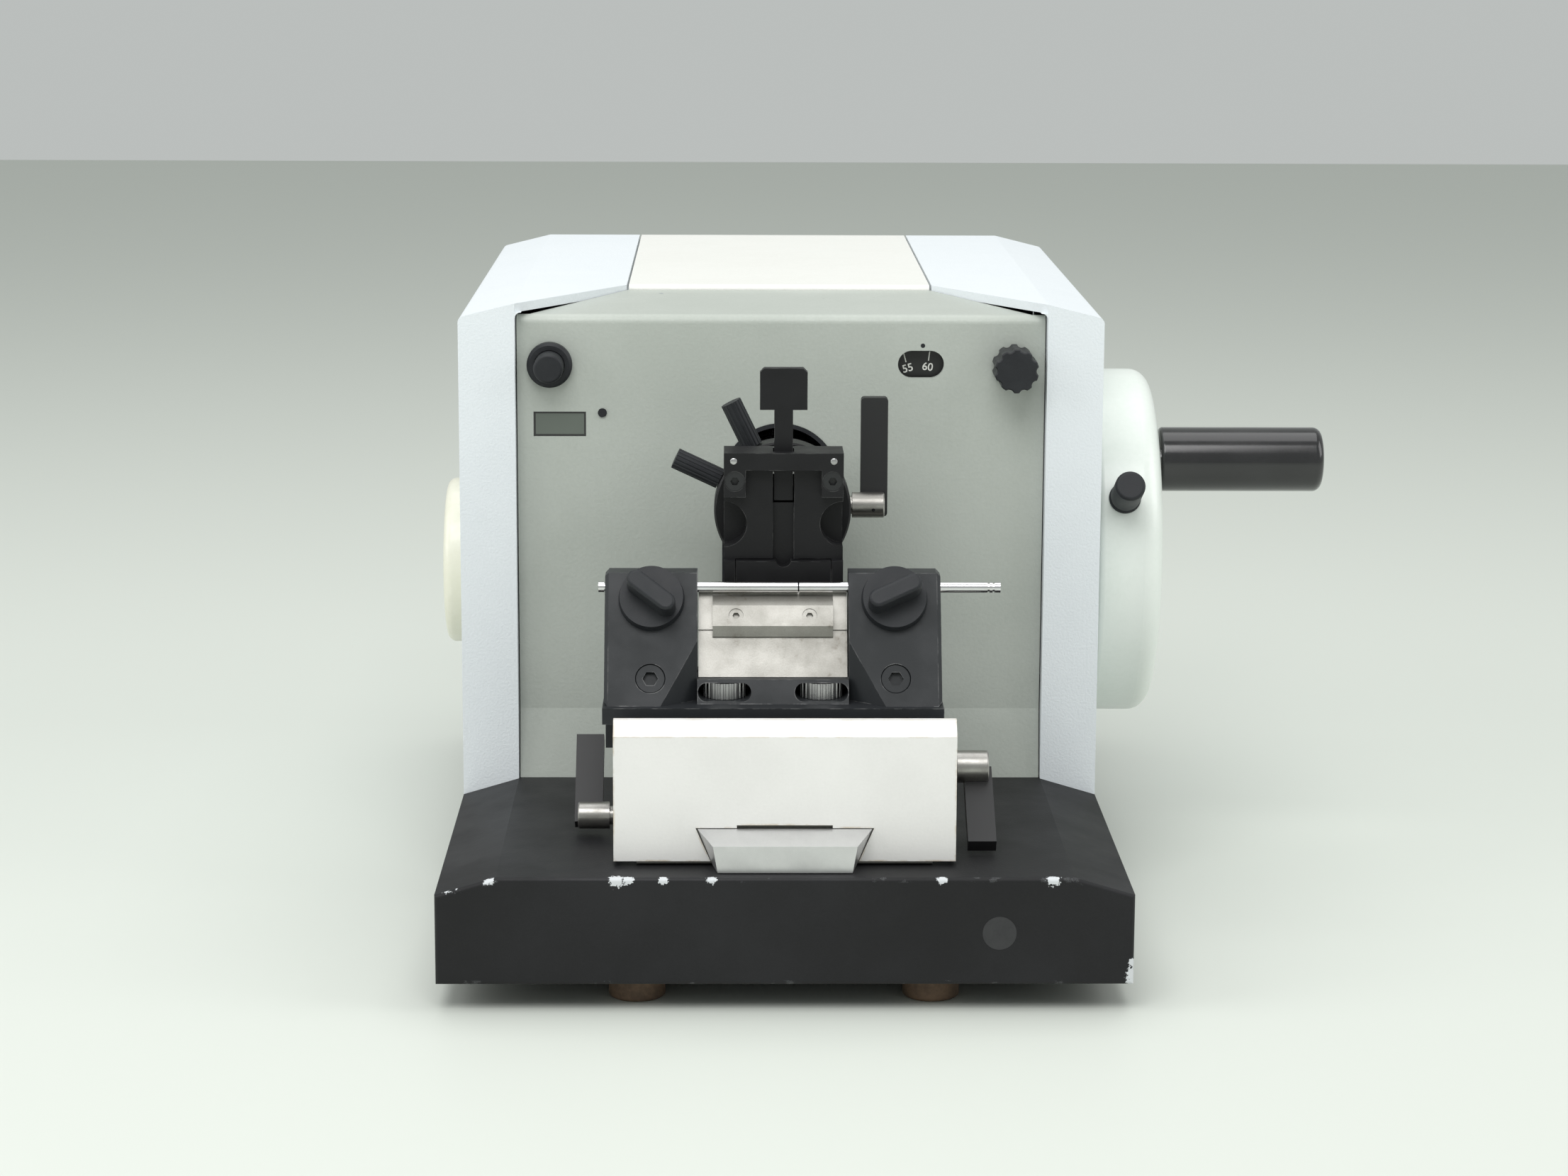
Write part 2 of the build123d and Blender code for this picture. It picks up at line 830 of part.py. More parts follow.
pieces["thickness_dial"] = thickness_dial

with BuildPart() as dial_bracket:
    post_places = [
        (knob_x + lower_post_out, dial_z - lower_post_drop),
        (knob_x - upper_post_in, knob_z + upper_post_rise),
        (dial_x - far_post_in, dial_z + far_post_rise),
    ]
    with BuildSketch(facing_front(bracket_y)):
        for place in post_places:
            with Locations(place):
                Circle(post_radius + 1)
        with Locations((dial_x, dial_z), (knob_x, knob_z)):
            Circle(2 * knob_shaft_radius)
        make_hull()
    extrude(amount=-bracket_thickness)
    with BuildSketch(facing_front(bracket_y)):
        with Locations((dial_x, dial_z), (knob_x, knob_z)):
            Circle(knob_shaft_radius + running_fit)
    extrude(amount=-bracket_thickness, mode=Mode.SUBTRACT)
    with BuildSketch(facing_front(bracket_y)):
        with Locations(*post_places):
            Circle(post_radius)
    extrude(amount=bracket_y - panel_back)
pieces["dial_bracket"] = dial_bracket

# Machine frame: one casting with two bearing walls, a foot and a bridge for the guide rods
with BuildPart() as machine_frame:
    with Locations((0, shaft_y, base_top)):
        Box(
            2 * frame_half_width,
            frame_depth,
            frame_foot,
            align=(Align.CENTER, Align.CENTER, Align.MIN),
        )
    for side in (-1, 1):
        with BuildSketch(facing_right(side * wall_inner)):
            with BuildLine():
                Polyline(
                    (shaft_y - frame_depth / 2, base_top),
                    (shaft_y + frame_depth / 2, base_top),
                    (shaft_y + frame_bridge_depth / 2, frame_bridge_z + frame_bridge_height),
                    (shaft_y - frame_bridge_depth / 2, frame_bridge_z + frame_bridge_height),
                    close=True,
                )
            make_face()
        extrude(amount=side * frame_wall)
    with Locations((0, shaft_y, frame_bridge_z)):
        Box(
            2 * frame_half_width,
            frame_bridge_depth,
            frame_bridge_height,
            align=(Align.CENTER, Align.CENTER, Align.MIN),
        )
    with BuildSketch(facing_right(frame_half_width)):
        with Locations((shaft_y, shaft_z)):
            Circle(bearing_radius + bearing_wall)
    extrude(amount=boss_end - frame_half_width)
    with BuildSketch(facing_right(wall_inner)):
        with Locations((shaft_y, shaft_z)):
            Circle(shaft_radius + shaft_room)
    extrude(amount=boss_end - wall_inner, mode=Mode.SUBTRACT)
    for bearing_x in (wall_inner, boss_end - bearing_width):
        with BuildSketch(facing_right(bearing_x)):
            with Locations((shaft_y, shaft_z)):
                Circle(bearing_radius)
        extrude(amount=bearing_width, mode=Mode.SUBTRACT)
    with BuildSketch(facing_right(-frame_half_width)):
        with Locations((coarse_y, coarse_z)):
            Circle(coarse_shaft_radius + coarse_bush_wall)
    extrude(amount=frame_wall, mode=Mode.SUBTRACT)
    with BuildSketch(Plane.XY.offset(base_top)):
        with Locations((-guide_spread / 2, shaft_y), (guide_spread / 2, shaft_y)):
            Circle(guide_radius + running_fit)
    extrude(amount=frame_bridge_z + frame_bridge_height - base_top, mode=Mode.SUBTRACT)
pieces["machine_frame"] = machine_frame

with BuildPart() as guide_rods:
    with Locations((-guide_spread / 2, shaft_y, base_top), (guide_spread / 2, shaft_y, base_top)):
        Cylinder(
            guide_radius,
            frame_bridge_z + frame_bridge_height - base_top,
            align=(Align.CENTER, Align.CENTER, Align.MIN),
        )
pieces["guide_rods"] = guide_rods

with BuildPart() as shaft_bearings:
    for bearing_x in (wall_inner, boss_end - bearing_width):
        with BuildSketch(facing_right(bearing_x)):
            with Locations((shaft_y, shaft_z)):
                Circle(bearing_radius - running_fit)
                Circle(shaft_radius + running_fit, mode=Mode.SUBTRACT)
        extrude(amount=bearing_width)
    with BuildSketch(facing_right(-frame_half_width)):
        with Locations((coarse_y, coarse_z)):
            Circle(coarse_shaft_radius + coarse_bush_wall - running_fit)
            Circle(coarse_shaft_radius + running_fit, mode=Mode.SUBTRACT)
    extrude(amount=frame_wall)
pieces["shaft_bearings"] = shaft_bearings

# Drive: crank arm with its pin and roller on the main shaft
with BuildPart() as main_shaft:
    with BuildSketch(facing_right(crank_x)):
        with Locations((shaft_y, shaft_z)):
            Circle(shaft_radius)
    extrude(amount=wheel_inner_x + wheel_hub_depth - crank_x)
    with BuildSketch(facing_right(boss_end + seat_gap)):
        with Locations((shaft_y, shaft_z)):
            Circle(shaft_radius + collar_rise)
    extrude(amount=collar_length)
pieces["main_shaft"] = main_shaft

with BuildPart() as crank_arm:
    with BuildSketch(facing_right(crank_x)):
        with Locations((shaft_y, shaft_z)):
            Circle(2 * shaft_radius)
        with Locations((shaft_y, crank_pin_z)):
            Circle(crank_pin_radius + 6)
        make_hull()
    extrude(amount=crank_thickness)
    with BuildSketch(facing_right(crank_x)):
        with Locations((shaft_y, shaft_z)):
            Circle(shaft_radius + running_fit)
    extrude(amount=crank_thickness, mode=Mode.SUBTRACT)
    with BuildSketch(facing_right(crank_x)):
        with Locations((shaft_y, crank_pin_z)):
            Circle(crank_pin_radius)
    extrude(amount=yoke_x - crank_x)
    with BuildSketch(facing_right(yoke_x + 0.5)):
        with Locations((shaft_y, crank_pin_z)):
            Circle(crank_roller_radius)
            Circle(crank_pin_radius + running_fit, mode=Mode.SUBTRACT)
    extrude(amount=yoke_thickness)
pieces["crank_arm"] = crank_arm

# Handwheel: a heavy dished disc with a rounded rim, turned about the main shaft
with BuildPart() as handwheel:
    wheel_profile_plane = Plane(origin=(0, shaft_y, shaft_z), x_dir=(1, 0, 0), z_dir=(0, -1, 0))
    with BuildSketch(wheel_profile_plane) as wheel_profile:
        with BuildLine():
            Polyline(
                (wheel_inner_x, shaft_radius + running_fit),
                (wheel_inner_x, wheel_hub_radius),
                (wheel_outer_x - wheel_web, wheel_hub_radius + 4),
                (wheel_outer_x - wheel_web, wheel_radius - wheel_rim),
                (wheel_inner_x, wheel_radius - wheel_rim + 2),
                (wheel_inner_x, wheel_radius),
                (wheel_outer_x, wheel_radius),
                (wheel_outer_x, 0),
                (wheel_inner_x + wheel_hub_depth, 0),
                (wheel_inner_x + wheel_hub_depth, shaft_radius + running_fit),
                close=True,
            )
        make_face()
        fillet(
            wheel_profile.vertices().sort_by_distance((wheel_outer_x, wheel_radius))[0],
            wheel_edge,
        )
        fillet(
            wheel_profile.vertices().sort_by_distance((wheel_inner_x, wheel_radius))[0],
            wheel_inner_edge,
        )
    revolve(axis=Axis((0, shaft_y, shaft_z), (1, 0, 0)))
    with BuildSketch(facing_right(wheel_outer_x)):
        with Locations((handle_y, handle_z)):
            Circle(handle_pin_radius + running_fit)
    extrude(amount=-wheel_web, mode=Mode.SUBTRACT)
    with BuildSketch(lock_plane.offset(wheel_radius)):
        Circle(lock_shank_radius + slide_gap)
    extrude(amount=-wheel_rim - 2, mode=Mode.SUBTRACT)
pieces["handwheel"] = handwheel

with BuildPart() as handle_pin:
    with BuildSketch(facing_right(wheel_outer_x - wheel_web)):
        with Locations((handle_y, handle_z)):
            Circle(handle_pin_radius)
    extrude(amount=wheel_web + handle_length - handle_cap)
pieces["handle_pin"] = handle_pin

with BuildPart() as handle_grip:
    with BuildSketch(facing_right(wheel_outer_x + wheel_gap)):
        with Locations((handle_y, handle_z)):
            Circle(handle_radius)
    extrude(amount=handle_length)
    fillet(handle_grip.faces().sort_by(Axis.X)[-1].edges(), 4)
    fillet(handle_grip.faces().sort_by(Axis.X)[0].edges(), 1.5)
    with BuildSketch(facing_right(wheel_outer_x + wheel_gap)):
        with Locations((handle_y, handle_z)):
            Circle(handle_pin_radius + running_fit)
    extrude(amount=handle_length - handle_cap, mode=Mode.SUBTRACT)
pieces["handle_grip"] = handle_grip

with BuildPart() as lock_knob:
    knob_foot = wheel_radius + lock_ring_height + seat_gap
    with BuildSketch(lock_plane.offset(knob_foot)):
        Circle(lock_knob_radius)
    extrude(amount=lock_knob_length)
    fillet(lock_knob.edges().filter_by(GeomType.CIRCLE), 1.5)
    with BuildSketch(lock_plane.offset(wheel_radius - wheel_rim - lock_travel)):
        Circle(lock_shank_radius)
    extrude(amount=knob_foot + lock_travel + wheel_rim - wheel_radius)
pieces["lock_knob"] = lock_knob

# Vertical carriage: bored block on two guide rods, with bushes and a rear thrust plate
with BuildPart() as carriage:
    with Locations((0, shaft_y, axis_z)):
        Box(2 * carriage_half_width, carriage_depth, carriage_height)
    with BuildSketch(Plane.XY.offset(carriage_bottom)):
        with Locations((-guide_spread / 2, shaft_y), (guide_spread / 2, shaft_y)):
            Circle(guide_radius + bush_wall)
    extrude(amount=carriage_height, mode=Mode.SUBTRACT)
    with BuildSketch(facing_front(carriage_front)):
        with Locations((0, axis_z)):
            Circle(cylinder_radius + running_fit)
    extrude(amount=-carriage_depth, mode=Mode.SUBTRACT)
    for post_x in (-thrust_post_x, thrust_post_x):
        for post_z in (-thrust_post_z, thrust_post_z):
            with BuildSketch(facing_front(carriage_back)):
                with Locations((post_x, axis_z + post_z)):
                    Circle(thrust_post_radius)
            extrude(amount=carriage_back - thrust_y)
    with BuildSketch(facing_front(thrust_y)):
        with Locations((0, axis_z)):
            RectangleRounded(
                2 * (thrust_post_x + thrust_post_radius + 2),
                2 * (thrust_post_z + thrust_post_radius + 2),
                6,
            )
            Circle(spindle_radius + running_fit, mode=Mode.SUBTRACT)
    extrude(amount=-thrust_thickness)
    for bush_z in (carriage_bottom, carriage_bottom + carriage_height - bush_length):
        for bush_x in (-guide_spread / 2, guide_spread / 2):
            with BuildSketch(Plane.XY.offset(bush_z)):
                with Locations((bush_x, shaft_y)):
                    Circle(guide_radius + bush_wall)
                    Circle(guide_radius + running_fit, mode=Mode.SUBTRACT)
            extrude(amount=bush_length)
pieces["carriage"] = carriage

# Yoke: the plate whose level slot turns the crank's circle into the carriage's stroke
with BuildPart() as yoke_plate:
    slot_half_height = crank_roller_radius + yoke_opening
    slot_half_width = crank_radius + crank_roller_radius + slot_end_room
    with BuildSketch(facing_right(yoke_x)):
        with Locations((shaft_y, crank_pin_z)):
            RectangleRounded(yoke_width, 2 * (slot_half_height + yoke_margin), yoke_corner)
            RectangleRounded(2 * slot_half_width, 2 * slot_half_height, yoke_corner, mode=Mode.SUBTRACT)
    extrude(amount=yoke_thickness)
    pad_z = crank_pin_z + slot_half_height + yoke_margin / 2
    with Locations((carriage_half_width, shaft_y, pad_z)):
        Box(
            yoke_x - carriage_half_width,
            carriage_depth - 8,
            yoke_margin - 1,
            align=(Align.MIN, Align.CENTER, Align.CENTER),
        )
pieces["yoke_plate"] = yoke_plate

# Horizontal feed: the specimen cylinder, the spindle that drives it and the coarse feed wheel
with BuildPart() as specimen_cylinder:
    with BuildSketch(facing_front(head_front + head_thickness)):
        with Locations((0, axis_z)):
            Circle(cylinder_radius)
    extrude(amount=head_front + head_thickness - cylinder_rear)
    chamfer(specimen_cylinder.faces().sort_by(Axis.Y)[-1].edges(), 1)
    with Locations((0, ball_y, axis_z)):
        Sphere(ball_radius + ball_shell + running_fit, mode=Mode.SUBTRACT)
    with BuildSketch(facing_front(spindle_bore_front)):
        with Locations((0, axis_z)):
            Circle(spindle_radius + running_fit)
    extrude(amount=spindle_bore_front - cylinder_rear, mode=Mode.SUBTRACT)
pieces["specimen_cylinder"] = specimen_cylinder

with BuildPart() as feed_spindle:
    with BuildSketch(facing_front(spindle_front)):
        with Locations((0, axis_z)):
            Circle(spindle_radius)
    extrude(amount=spindle_front - thrust_y - thrust_thickness - feed_gear_width - 6)
    with BuildSketch(facing_front(thrust_y + thrust_thickness + slide_gap)):
        with Locations((0, axis_z)):
            Circle(spindle_radius + 4)
    extrude(amount=-4)
    gear_rear = thrust_y + thrust_thickness + 4
    with BuildSketch(Plane(origin=(0, gear_rear, axis_z), x_dir=(1, 0, 0), z_dir=(0, -1, 0))):
        with BuildLine():
            Polyline(*gear_outline(feed_gear_teeth), close=True)
        make_face()
    extrude(amount=-feed_gear_width)
pieces["feed_spindle"] = feed_spindle

with BuildPart() as coarse_wheel:
    coarse_outer_x = -half_width - wheel_gap - coarse_width
    with BuildSketch(facing_right(coarse_outer_x)):
        with Locations((coarse_y, coarse_z)):
            Circle(coarse_radius)
    extrude(amount=coarse_width)
    fillet(coarse_wheel.faces().sort_by(Axis.X)[0].edges(), 4)
    with BuildSketch(facing_right(coarse_outer_x + coarse_width)):
        with Locations((coarse_y, coarse_z)):
            Circle(coarse_radius - 5)
            Circle(2 * coarse_shaft_radius, mode=Mode.SUBTRACT)
    extrude(amount=-coarse_width / 2, mode=Mode.SUBTRACT)
    with BuildSketch(facing_right(coarse_outer_x + coarse_width / 2)):
        with Locations((coarse_y, coarse_z)):
            Circle(coarse_shaft_radius)
    extrude(amount=-carriage_half_width - 8 - coarse_outer_x - coarse_width / 2)
    with BuildSketch(facing_right(-wall_inner + seat_gap)):
        with Locations((coarse_y, coarse_z)):
            Circle(2 * coarse_shaft_radius)
    extrude(amount=8, taper=30)
pieces["coarse_wheel"] = coarse_wheel

# Specimen head: disc with a spherical socket, split shell and ball of the universal joint
head_plane = facing_front(head_front)
fluted_y = head_front + head_thickness / 2
with BuildPart() as head_disc:
    with BuildSketch(head_plane):
        with Locations((0, axis_z)):
            Circle(head_radius)
    extrude(amount=-head_thickness)
    chamfer(head_disc.edges().filter_by(GeomType.CIRCLE), 0.8)
    with Locations((0, ball_y, axis_z)):
        Sphere(ball_radius + ball_shell + running_fit, mode=Mode.SUBTRACT)
    for fluted_angle in fluted_angles:
        with BuildSketch(radial_plane(fluted_angle).offset(head_radius - fluted_shank)):
            Circle(fluted_shank_radius + running_fit)
        extrude(amount=fluted_shank, mode=Mode.SUBTRACT)
    with BuildSketch(facing_right(head_radius - fluted_shank)):
        with Locations((fluted_y, head_lever_z)):
            Circle(side_lever_shaft + running_fit)
    extrude(amount=fluted_shank, mode=Mode.SUBTRACT)
pieces["head_disc"] = head_disc

stem_slot = ball_stem_radius + (ball_radius + ball_shell) * sin(radians(head_tilt_limit)) + slide_gap
with BuildPart() as tilt_shell:
    with Locations((0, ball_y, axis_z)):
        Sphere(ball_radius + ball_shell)
        Sphere(ball_radius + slide_gap, mode=Mode.SUBTRACT)
    with Locations((0, ball_y, axis_z)):
        Box(
            2 * (stem_slot + seat_gap),
            ball_radius + ball_shell + 1,
            2 * (ball_stem_radius + seat_gap),
            align=(Align.CENTER, Align.MAX, Align.CENTER),
            mode=Mode.SUBTRACT,
        )
pieces["tilt_shell"] = tilt_shell

clamp_back = clamp_front + clamp_thickness
with BuildPart() as swing_ball:
    with Locations((0, ball_y, axis_z)):
        Sphere(ball_radius)
    with BuildSketch(facing_front(ball_y)):
        with Locations((0, axis_z)):
            Circle(ball_stem_radius)
    extrude(amount=ball_y - clamp_back + ball_stem_depth)
pieces["swing_ball"] = swing_ball


def fluted_screw(fluted_angle):
    """A fluted clamping screw that stands radially on the rim of the head disc."""
    plane = radial_plane(fluted_angle)
    with BuildPart() as screw:
        with BuildSketch(plane.offset(head_radius + seat_gap)):
            Circle(fluted_radius)
            with PolarLocations(fluted_radius + 0.25, fluted_grooves):
                Circle(0.6, mode=Mode.SUBTRACT)
        extrude(amount=fluted_length)
        with BuildSketch(plane.offset(head_radius - fluted_shank + 1)):
            Circle(fluted_shank_radius)
        extrude(amount=fluted_shank)
    return screw


pieces["tilt_screw"] = fluted_screw(fluted_angles[0])
pieces["swing_screw"] = fluted_screw(fluted_angles[1])

with BuildPart() as head_lever:
    with BuildSketch(facing_right(head_lever_start)):
        with Locations((fluted_y, head_lever_z)):
            Circle(head_lever_hub_radius)
    extrude(amount=head_lever_hub_length)
    fillet(head_lever.faces().sort_by(Axis.X)[-1].edges(), 0.8)
    with BuildSketch(facing_right(head_radius - fluted_shank + 1)):
        with Locations((fluted_y, head_lever_z)):
            Circle(side_lever_shaft)
    extrude(amount=fluted_shank + 2)
    bar_front = fluted_y + head_lever_hub_radius / 2
    with BuildSketch(facing_front(bar_front)):
        with Locations((head_lever_bar_x + head_lever_width / 2, (head_lever_top + head_lever_bottom) / 2)):
            RectangleRounded(head_lever_width, head_lever_top - head_lever_bottom, 1.5)
    extrude(amount=-head_lever_thickness)
pieces["head_lever"] = head_lever

# Cassette clamp: seat, upper bar, corner blocks with screws, scalloped sides and a moving jaw
seat_y = clamp_front + seat_depth
with BuildPart() as clamp_body:
    with BuildSketch(facing_front(clamp_back)):
        with Locations((0, (clamp_top + clamp_bottom) / 2)):
            Rectangle(clamp_width, clamp_top - clamp_bottom)
    extrude(amount=clamp_thickness)
    chamfer(clamp_body.faces().sort_by(Axis.Y)[-1].edges(), 1.5)
    with BuildSketch(facing_front(seat_y)):
        with BuildLine():
            Polyline(
                (-pocket_half_width, clamp_bottom),
                (-pocket_half_width, jaw_top),
                (-clamp_width / 2, jaw_top),
                (-clamp_width / 2, corner_bottom),
                (corner_width - clamp_width / 2, corner_bottom),
                (corner_width - clamp_width / 2, clamp_top - crossbar_height),
                (clamp_width / 2 - corner_width, clamp_top - crossbar_height),
                (clamp_width / 2 - corner_width, corner_bottom),
                (clamp_width / 2, corner_bottom),
                (clamp_width / 2, jaw_top),
                (pocket_half_width, jaw_top),
                (pocket_half_width, clamp_bottom),
                close=True,
            )
        make_face()
    extrude(amount=seat_depth, mode=Mode.SUBTRACT)
    with BuildSketch(facing_front(seat_y + jaw_seat)):
        with Locations((0, clamp_bottom)):
            Rectangle(
                2 * pocket_half_width,
                jaw_top - clamp_bottom + seat_gap,
                align=(Align.CENTER, Align.MIN),
            )
    extrude(amount=jaw_seat, mode=Mode.SUBTRACT)
    with BuildSketch(facing_front(seat_y)):
        with Locations((0, jaw_top)):
            Rectangle(
                channel_width,
                clamp_top - crossbar_height - jaw_top,
                align=(Align.CENTER, Align.MIN),
            )
    extrude(amount=-channel_depth, mode=Mode.SUBTRACT)
    with BuildSketch(facing_front(clamp_front)):
        with Locations((-clamp_width / 2, scallop_z), (clamp_width / 2, scallop_z)):
            Circle(scallop_radius)
    extrude(amount=-scallop_depth, mode=Mode.SUBTRACT)
    lever_slot_front = clamp_lever_y - clamp_lever_thickness / 2 - clamp_lever_swing
    with BuildSketch(Plane.XY.offset(clamp_lever_bottom - 1)):
        with Locations((0, lever_slot_front)):
            Rectangle(
                clamp_lever_stem + 1.2,
                clamp_lever_thickness + clamp_lever_swing + clamp_lever_room,
                align=(Align.CENTER, Align.MIN),
            )
    extrude(amount=clamp_top - clamp_lever_bottom + 1, mode=Mode.SUBTRACT)
    with BuildSketch(facing_front(clamp_back)):
        with Locations((0, axis_z)):
            Circle(ball_stem_radius + running_fit)
    extrude(amount=ball_stem_depth, mode=Mode.SUBTRACT)
    with BuildSketch(facing_front(clamp_front)):
        with Locations((-clamp_screw_x, clamp_screw_z), (clamp_screw_x, clamp_screw_z)):
            Circle(clamp_screw_radius + running_fit)
    extrude(amount=-clamp_screw_sink, mode=Mode.SUBTRACT)
    with BuildSketch(facing_right(-clamp_pin_length / 2)):
        with Locations((clamp_lever_y, clamp_lever_pivot_z)):
            Circle(clamp_pin_radius + running_fit)
    extrude(amount=clamp_pin_length, mode=Mode.SUBTRACT)
pieces["clamp_body"] = clamp_body

with BuildPart() as clamp_fasteners:
    with BuildSketch(facing_front(clamp_front + clamp_screw_sink)):
        with Locations((-clamp_screw_x, clamp_screw_z), (clamp_screw_x, clamp_screw_z)):
            Circle(clamp_screw_radius)
            RegularPolygon(clamp_screw_radius * 0.45, 6, mode=Mode.SUBTRACT)
    extrude(amount=clamp_screw_sink - 0.4)
    with BuildSketch(facing_front(clamp_front + clamp_screw_sink)):
        with Locations((-clamp_screw_x, clamp_screw_z), (clamp_screw_x, clamp_screw_z)):
            Circle(clamp_screw_radius)
    extrude(amount=1)
    with BuildSketch(facing_right(-clamp_pin_length / 2)):
        with Locations((clamp_lever_y, clamp_lever_pivot_z)):
            Circle(clamp_pin_radius)
    extrude(amount=clamp_pin_length)
pieces["clamp_fasteners"] = clamp_fasteners

with BuildPart() as clamp_jaw:
    with BuildSketch(facing_front(seat_y + jaw_seat - slide_gap)):
        with Locations((0, jaw_top)):
            Rectangle(
                2 * (pocket_half_width - seat_gap),
                jaw_top - clamp_bottom - jaw_travel,
                align=(Align.CENTER, Align.MAX),
            )
        with Locations((0, jaw_top + 1)):
            Circle(jaw_notch_radius, mode=Mode.SUBTRACT)
    extrude(amount=seat_depth + jaw_seat - slide_gap)
pieces["clamp_jaw"] = clamp_jaw

with BuildPart() as clamp_lever:
    neck_z = clamp_lever_top - clamp_lever_head_height
    with BuildSketch(facing_front(clamp_lever_y + clamp_lever_thickness / 2)) as lever_outline:
        with Locations((0, clamp_lever_top)):
            Rectangle(
                clamp_lever_head_width,
                clamp_lever_head_height,
                align=(Align.CENTER, Align.MAX),
            )
        chamfer(lever_outline.vertices().group_by(Axis.Y)[-1], 1.8)
        with Locations((0, clamp_lever_bottom)):
            Rectangle(
                clamp_lever_stem,
                neck_z - clamp_lever_bottom + 1,
                align=(Align.CENTER, Align.MIN),
            )
    extrude(amount=clamp_lever_thickness)
    with BuildSketch(facing_right(-clamp_lever_stem)):
        with Locations((clamp_lever_y, clamp_lever_pivot_z)):
            Circle(clamp_pin_radius + 2 * running_fit)
    extrude(amount=2 * clamp_lever_stem, mode=Mode.SUBTRACT)
pieces["clamp_lever"] = clamp_lever

# Rail on the base that guides the knife carrier
with BuildPart() as carrier_rail:
    with Locations((0, rail_front, base_top)):
        Box(
            rail_width,
            rail_rear - rail_front,
            rail_height,
            align=(Align.CENTER, Align.MIN, Align.MIN),
        )
    chamfer(carrier_rail.faces().sort_by(Axis.Z)[-1].edges(), 1)
pieces["carrier_rail"] = carrier_rail

# Knife carrier: heavy block on the rail whose hollow arc carries the tilting cradle
with BuildPart() as knife_carrier:
    with BuildSketch(facing_right(-carrier_half_width)):
        with BuildLine():
            Polyline(
                (carrier_front, base_top + seam_gap),
                (carrier_front, carrier_ramp_top),
                (carrier_step_y, carrier_ramp_top),
                (carrier_step_y, carrier_top),
                (carrier_rear, carrier_top),
                (carrier_rear, base_top + seam_gap),
                close=True,
            )
        make_face()
        with Locations((knife_edge_y, knife_edge_z)):
            Circle(cradle_radius + slide_gap, mode=Mode.SUBTRACT)
    extrude(amount=2 * carrier_half_width)
    with BuildSketch(facing_front(carrier_front)):
        with Locations((0, base_top)):
            Rectangle(
                rail_width + 2 * slide_gap,
                rail_height + slide_gap,
                align=(Align.CENTER, Align.MIN),
            )
    extrude(amount=carrier_front - carrier_rear, mode=Mode.SUBTRACT)
    with BuildSketch(facing_front(carrier_front)):
        with Locations((0, base_top)):
            Rectangle(
                2 * (tongue_half_width + seat_gap),
                tongue_bottom + tongue_thickness + seat_gap - base_top,
                align=(Align.CENTER, Align.MIN),
            )
    extrude(amount=carrier_front - tongue_rear - seat_gap, mode=Mode.SUBTRACT)
    with BuildSketch(facing_right(-carrier_half_width)):
        with Locations((left_lever_y, left_lever_z)):
            Circle(side_lever_shaft + running_fit)
    extrude(amount=carrier_half_width - side_lever_shaft_end + seam_gap, mode=Mode.SUBTRACT)
    with BuildSketch(facing_right(carrier_half_width)):
        with Locations((right_lever_y, right_lever_z)):
            Circle(side_lever_shaft + running_fit)
    extrude(amount=side_lever_shaft_end - carrier_half_width - seam_gap, mode=Mode.SUBTRACT)
pieces["knife_carrier"] = knife_carrier

# Front box: bent sheet around the carrier with an opening for the pull
with BuildPart() as front_box:
    with BuildSketch(facing_right(-box_half_width)):
        with BuildLine():
            Polyline(
                (box_front, box_bottom),
                (box_front, box_top - box_bevel),
                (box_front + box_bevel, box_top),
                (box_lip_rear, box_top),
                (box_lip_rear, box_side_top),
                (box_rear, box_side_top),
                (box_rear, box_bottom),
                close=True,
            )
        make_face()
    extrude(amount=2 * box_half_width)
    with BuildSketch(facing_right(-box_half_width + box_wall)):
        with BuildLine():
            Polyline(
                (carrier_front, box_bottom),
                (carrier_front, box_side_top + 0.5),
                (box_rear, box_side_top + 0.5),
                (box_rear, box_bottom),
                close=True,
            )
        make_face()
    extrude(amount=2 * (box_half_width - box_wall), mode=Mode.SUBTRACT)
    with BuildSketch(facing_front(box_front)):
        with BuildLine():
            Polyline(
                (-box_notch_foot, box_bottom),
                (-box_notch_head, box_notch_top),
                (box_notch_head, box_notch_top),
                (box_notch_foot, box_bottom),
                close=True,
            )
        make_face()
        with Locations((0, box_notch_top)):
            Rectangle(
                2 * box_slit_half_width,
                2 * box_slit_height,
                align=(Align.CENTER, Align.CENTER),
            )
    extrude(amount=box_front - carrier_front, mode=Mode.SUBTRACT)
pieces["front_box"] = front_box

with BuildPart() as tray_pull:
    with BuildSketch(facing_front(box_front)):
        with BuildLine():
            Polyline(
                (-pull_front_half_width, pull_bottom),
                (-pull_back_half_width, pull_top),
                (pull_back_half_width, pull_top),
                (pull_front_half_width, pull_bottom),
                close=True,
            )
        make_face()
    with BuildSketch(facing_front(pull_front)):
        with BuildLine():
            Polyline(
                (-pull_foot_half_width, pull_bottom),
                (-pull_front_half_width, pull_face_top),
                (pull_front_half_width, pull_face_top),
                (pull_foot_half_width, pull_bottom),
                close=True,
            )
        make_face()
    loft()
    with BuildSketch(facing_front(tongue_rear)):
        with Locations((0, tongue_bottom)):
            Rectangle(2 * tongue_half_width, tongue_thickness, align=(Align.CENTER, Align.MIN))
    extrude(amount=tongue_rear - box_front)
pieces["tray_pull"] = tray_pull


